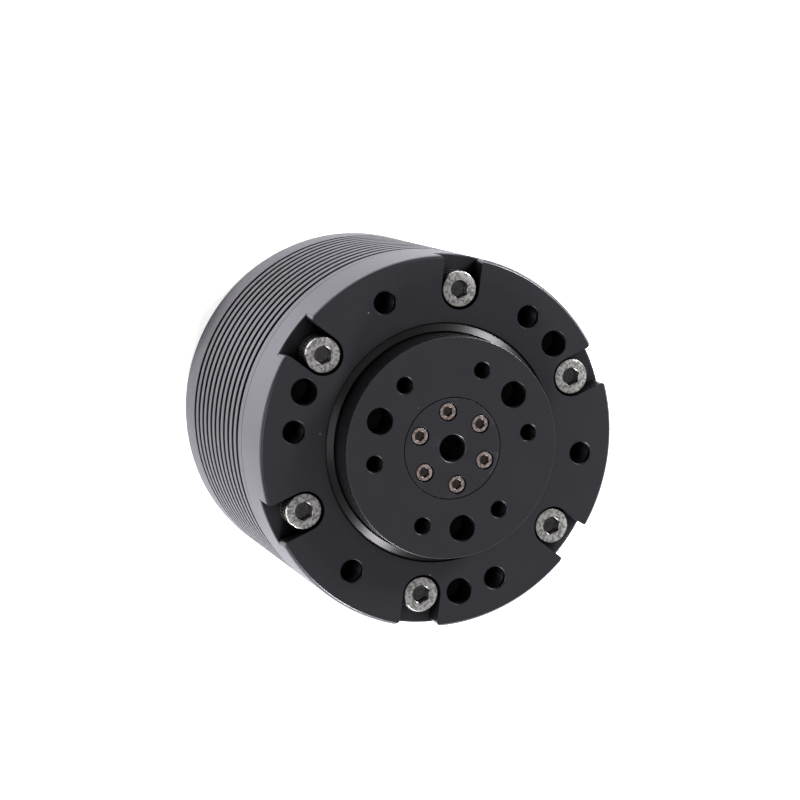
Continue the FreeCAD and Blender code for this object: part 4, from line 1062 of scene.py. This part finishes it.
class ACTUATOR_OT_stage(Operator):
    """Floor, soft light and camera"""
    bl_idname = "actuator.stage"
    bl_label = "Stage"
    bl_options = {"REGISTER", "UNDO"}

    def execute(self, context):
        scene = context.scene
        deselect()
        bpy.ops.mesh.primitive_plane_add(size=6.0, location=(0, 0, -FLOOR_DROP))
        floor = bpy.context.object
        floor.name = "floor"
        settle(floor)
        floor.data.materials.append(floor_material(scene.actuator_finish.floor))

        studio_world(scene, AMBIENT)
        for name, (place, size, power) in SOFTBOXES.items():
            softbox(name, place, (0, 0, FACE_Z), size, power)

        deselect()
        bpy.ops.object.camera_add(location=CAMERA_PLACE, rotation=[math.radians(a) for a in CAMERA_TURN])
        camera = bpy.context.object
        camera.data.lens = CAMERA_LENS
        camera.data.sensor_width = 36.0
        camera.data.shift_x, camera.data.shift_y = CAMERA_SHIFT
        camera.data.clip_start = 0.01
        scene.camera = camera
        scene.view_settings.view_transform = "Standard"
        return {"FINISHED"}


OPERATORS = (
    ACTUATOR_OT_mounting_flange,
    ACTUATOR_OT_finned_body,
    ACTUATOR_OT_output_boss,
    ACTUATOR_OT_boss_cap,
    ACTUATOR_OT_screws,
    ACTUATOR_OT_seal_ring,
    ACTUATOR_OT_rear_cover,
    ACTUATOR_OT_sockets,
    ACTUATOR_OT_inner_finishes,
    ACTUATOR_OT_stage,
)


class VIEW3D_PT_actuator(Panel):
    """Actuator settings and pieces"""
    bl_label = "Joint actuator"
    bl_space_type = "VIEW_3D"
    bl_region_type = "UI"
    bl_category = "Actuator"

    def draw(self, context):
        scene = context.scene
        for name in GROUPS:
            group = getattr(scene, name)
            box = self.layout.box()
            box.label(text=name.split("_")[1].title())
            for key in group.__annotations__:
                box.prop(group, key)
        for operator in OPERATORS:
            self.layout.operator(operator.bl_idname)


GROUPS = {
    "actuator_housing": ActuatorHousing,
    "actuator_boss": ActuatorBoss,
    "actuator_finish": ActuatorFinish,
}


def register():
    """Registers the settings, operators and panel."""
    for name, group in GROUPS.items():
        bpy.utils.register_class(group)
        setattr(Scene, name, PointerProperty(type=group))
    for operator in OPERATORS:
        bpy.utils.register_class(operator)
    bpy.utils.register_class(VIEW3D_PT_actuator)


def unregister():
    """Takes the settings, operators and panel out again."""
    bpy.utils.unregister_class(VIEW3D_PT_actuator)
    for operator in reversed(OPERATORS):
        bpy.utils.unregister_class(operator)
    for name, group in GROUPS.items():
        delattr(Scene, name)
        bpy.utils.unregister_class(group)


def main():
    """Makes every piece in order."""
    register()
    for operator in OPERATORS:
        group, name = operator.bl_idname.split(".")
        getattr(getattr(bpy.ops, group), name)()


if __name__ == "__main__":
    main()
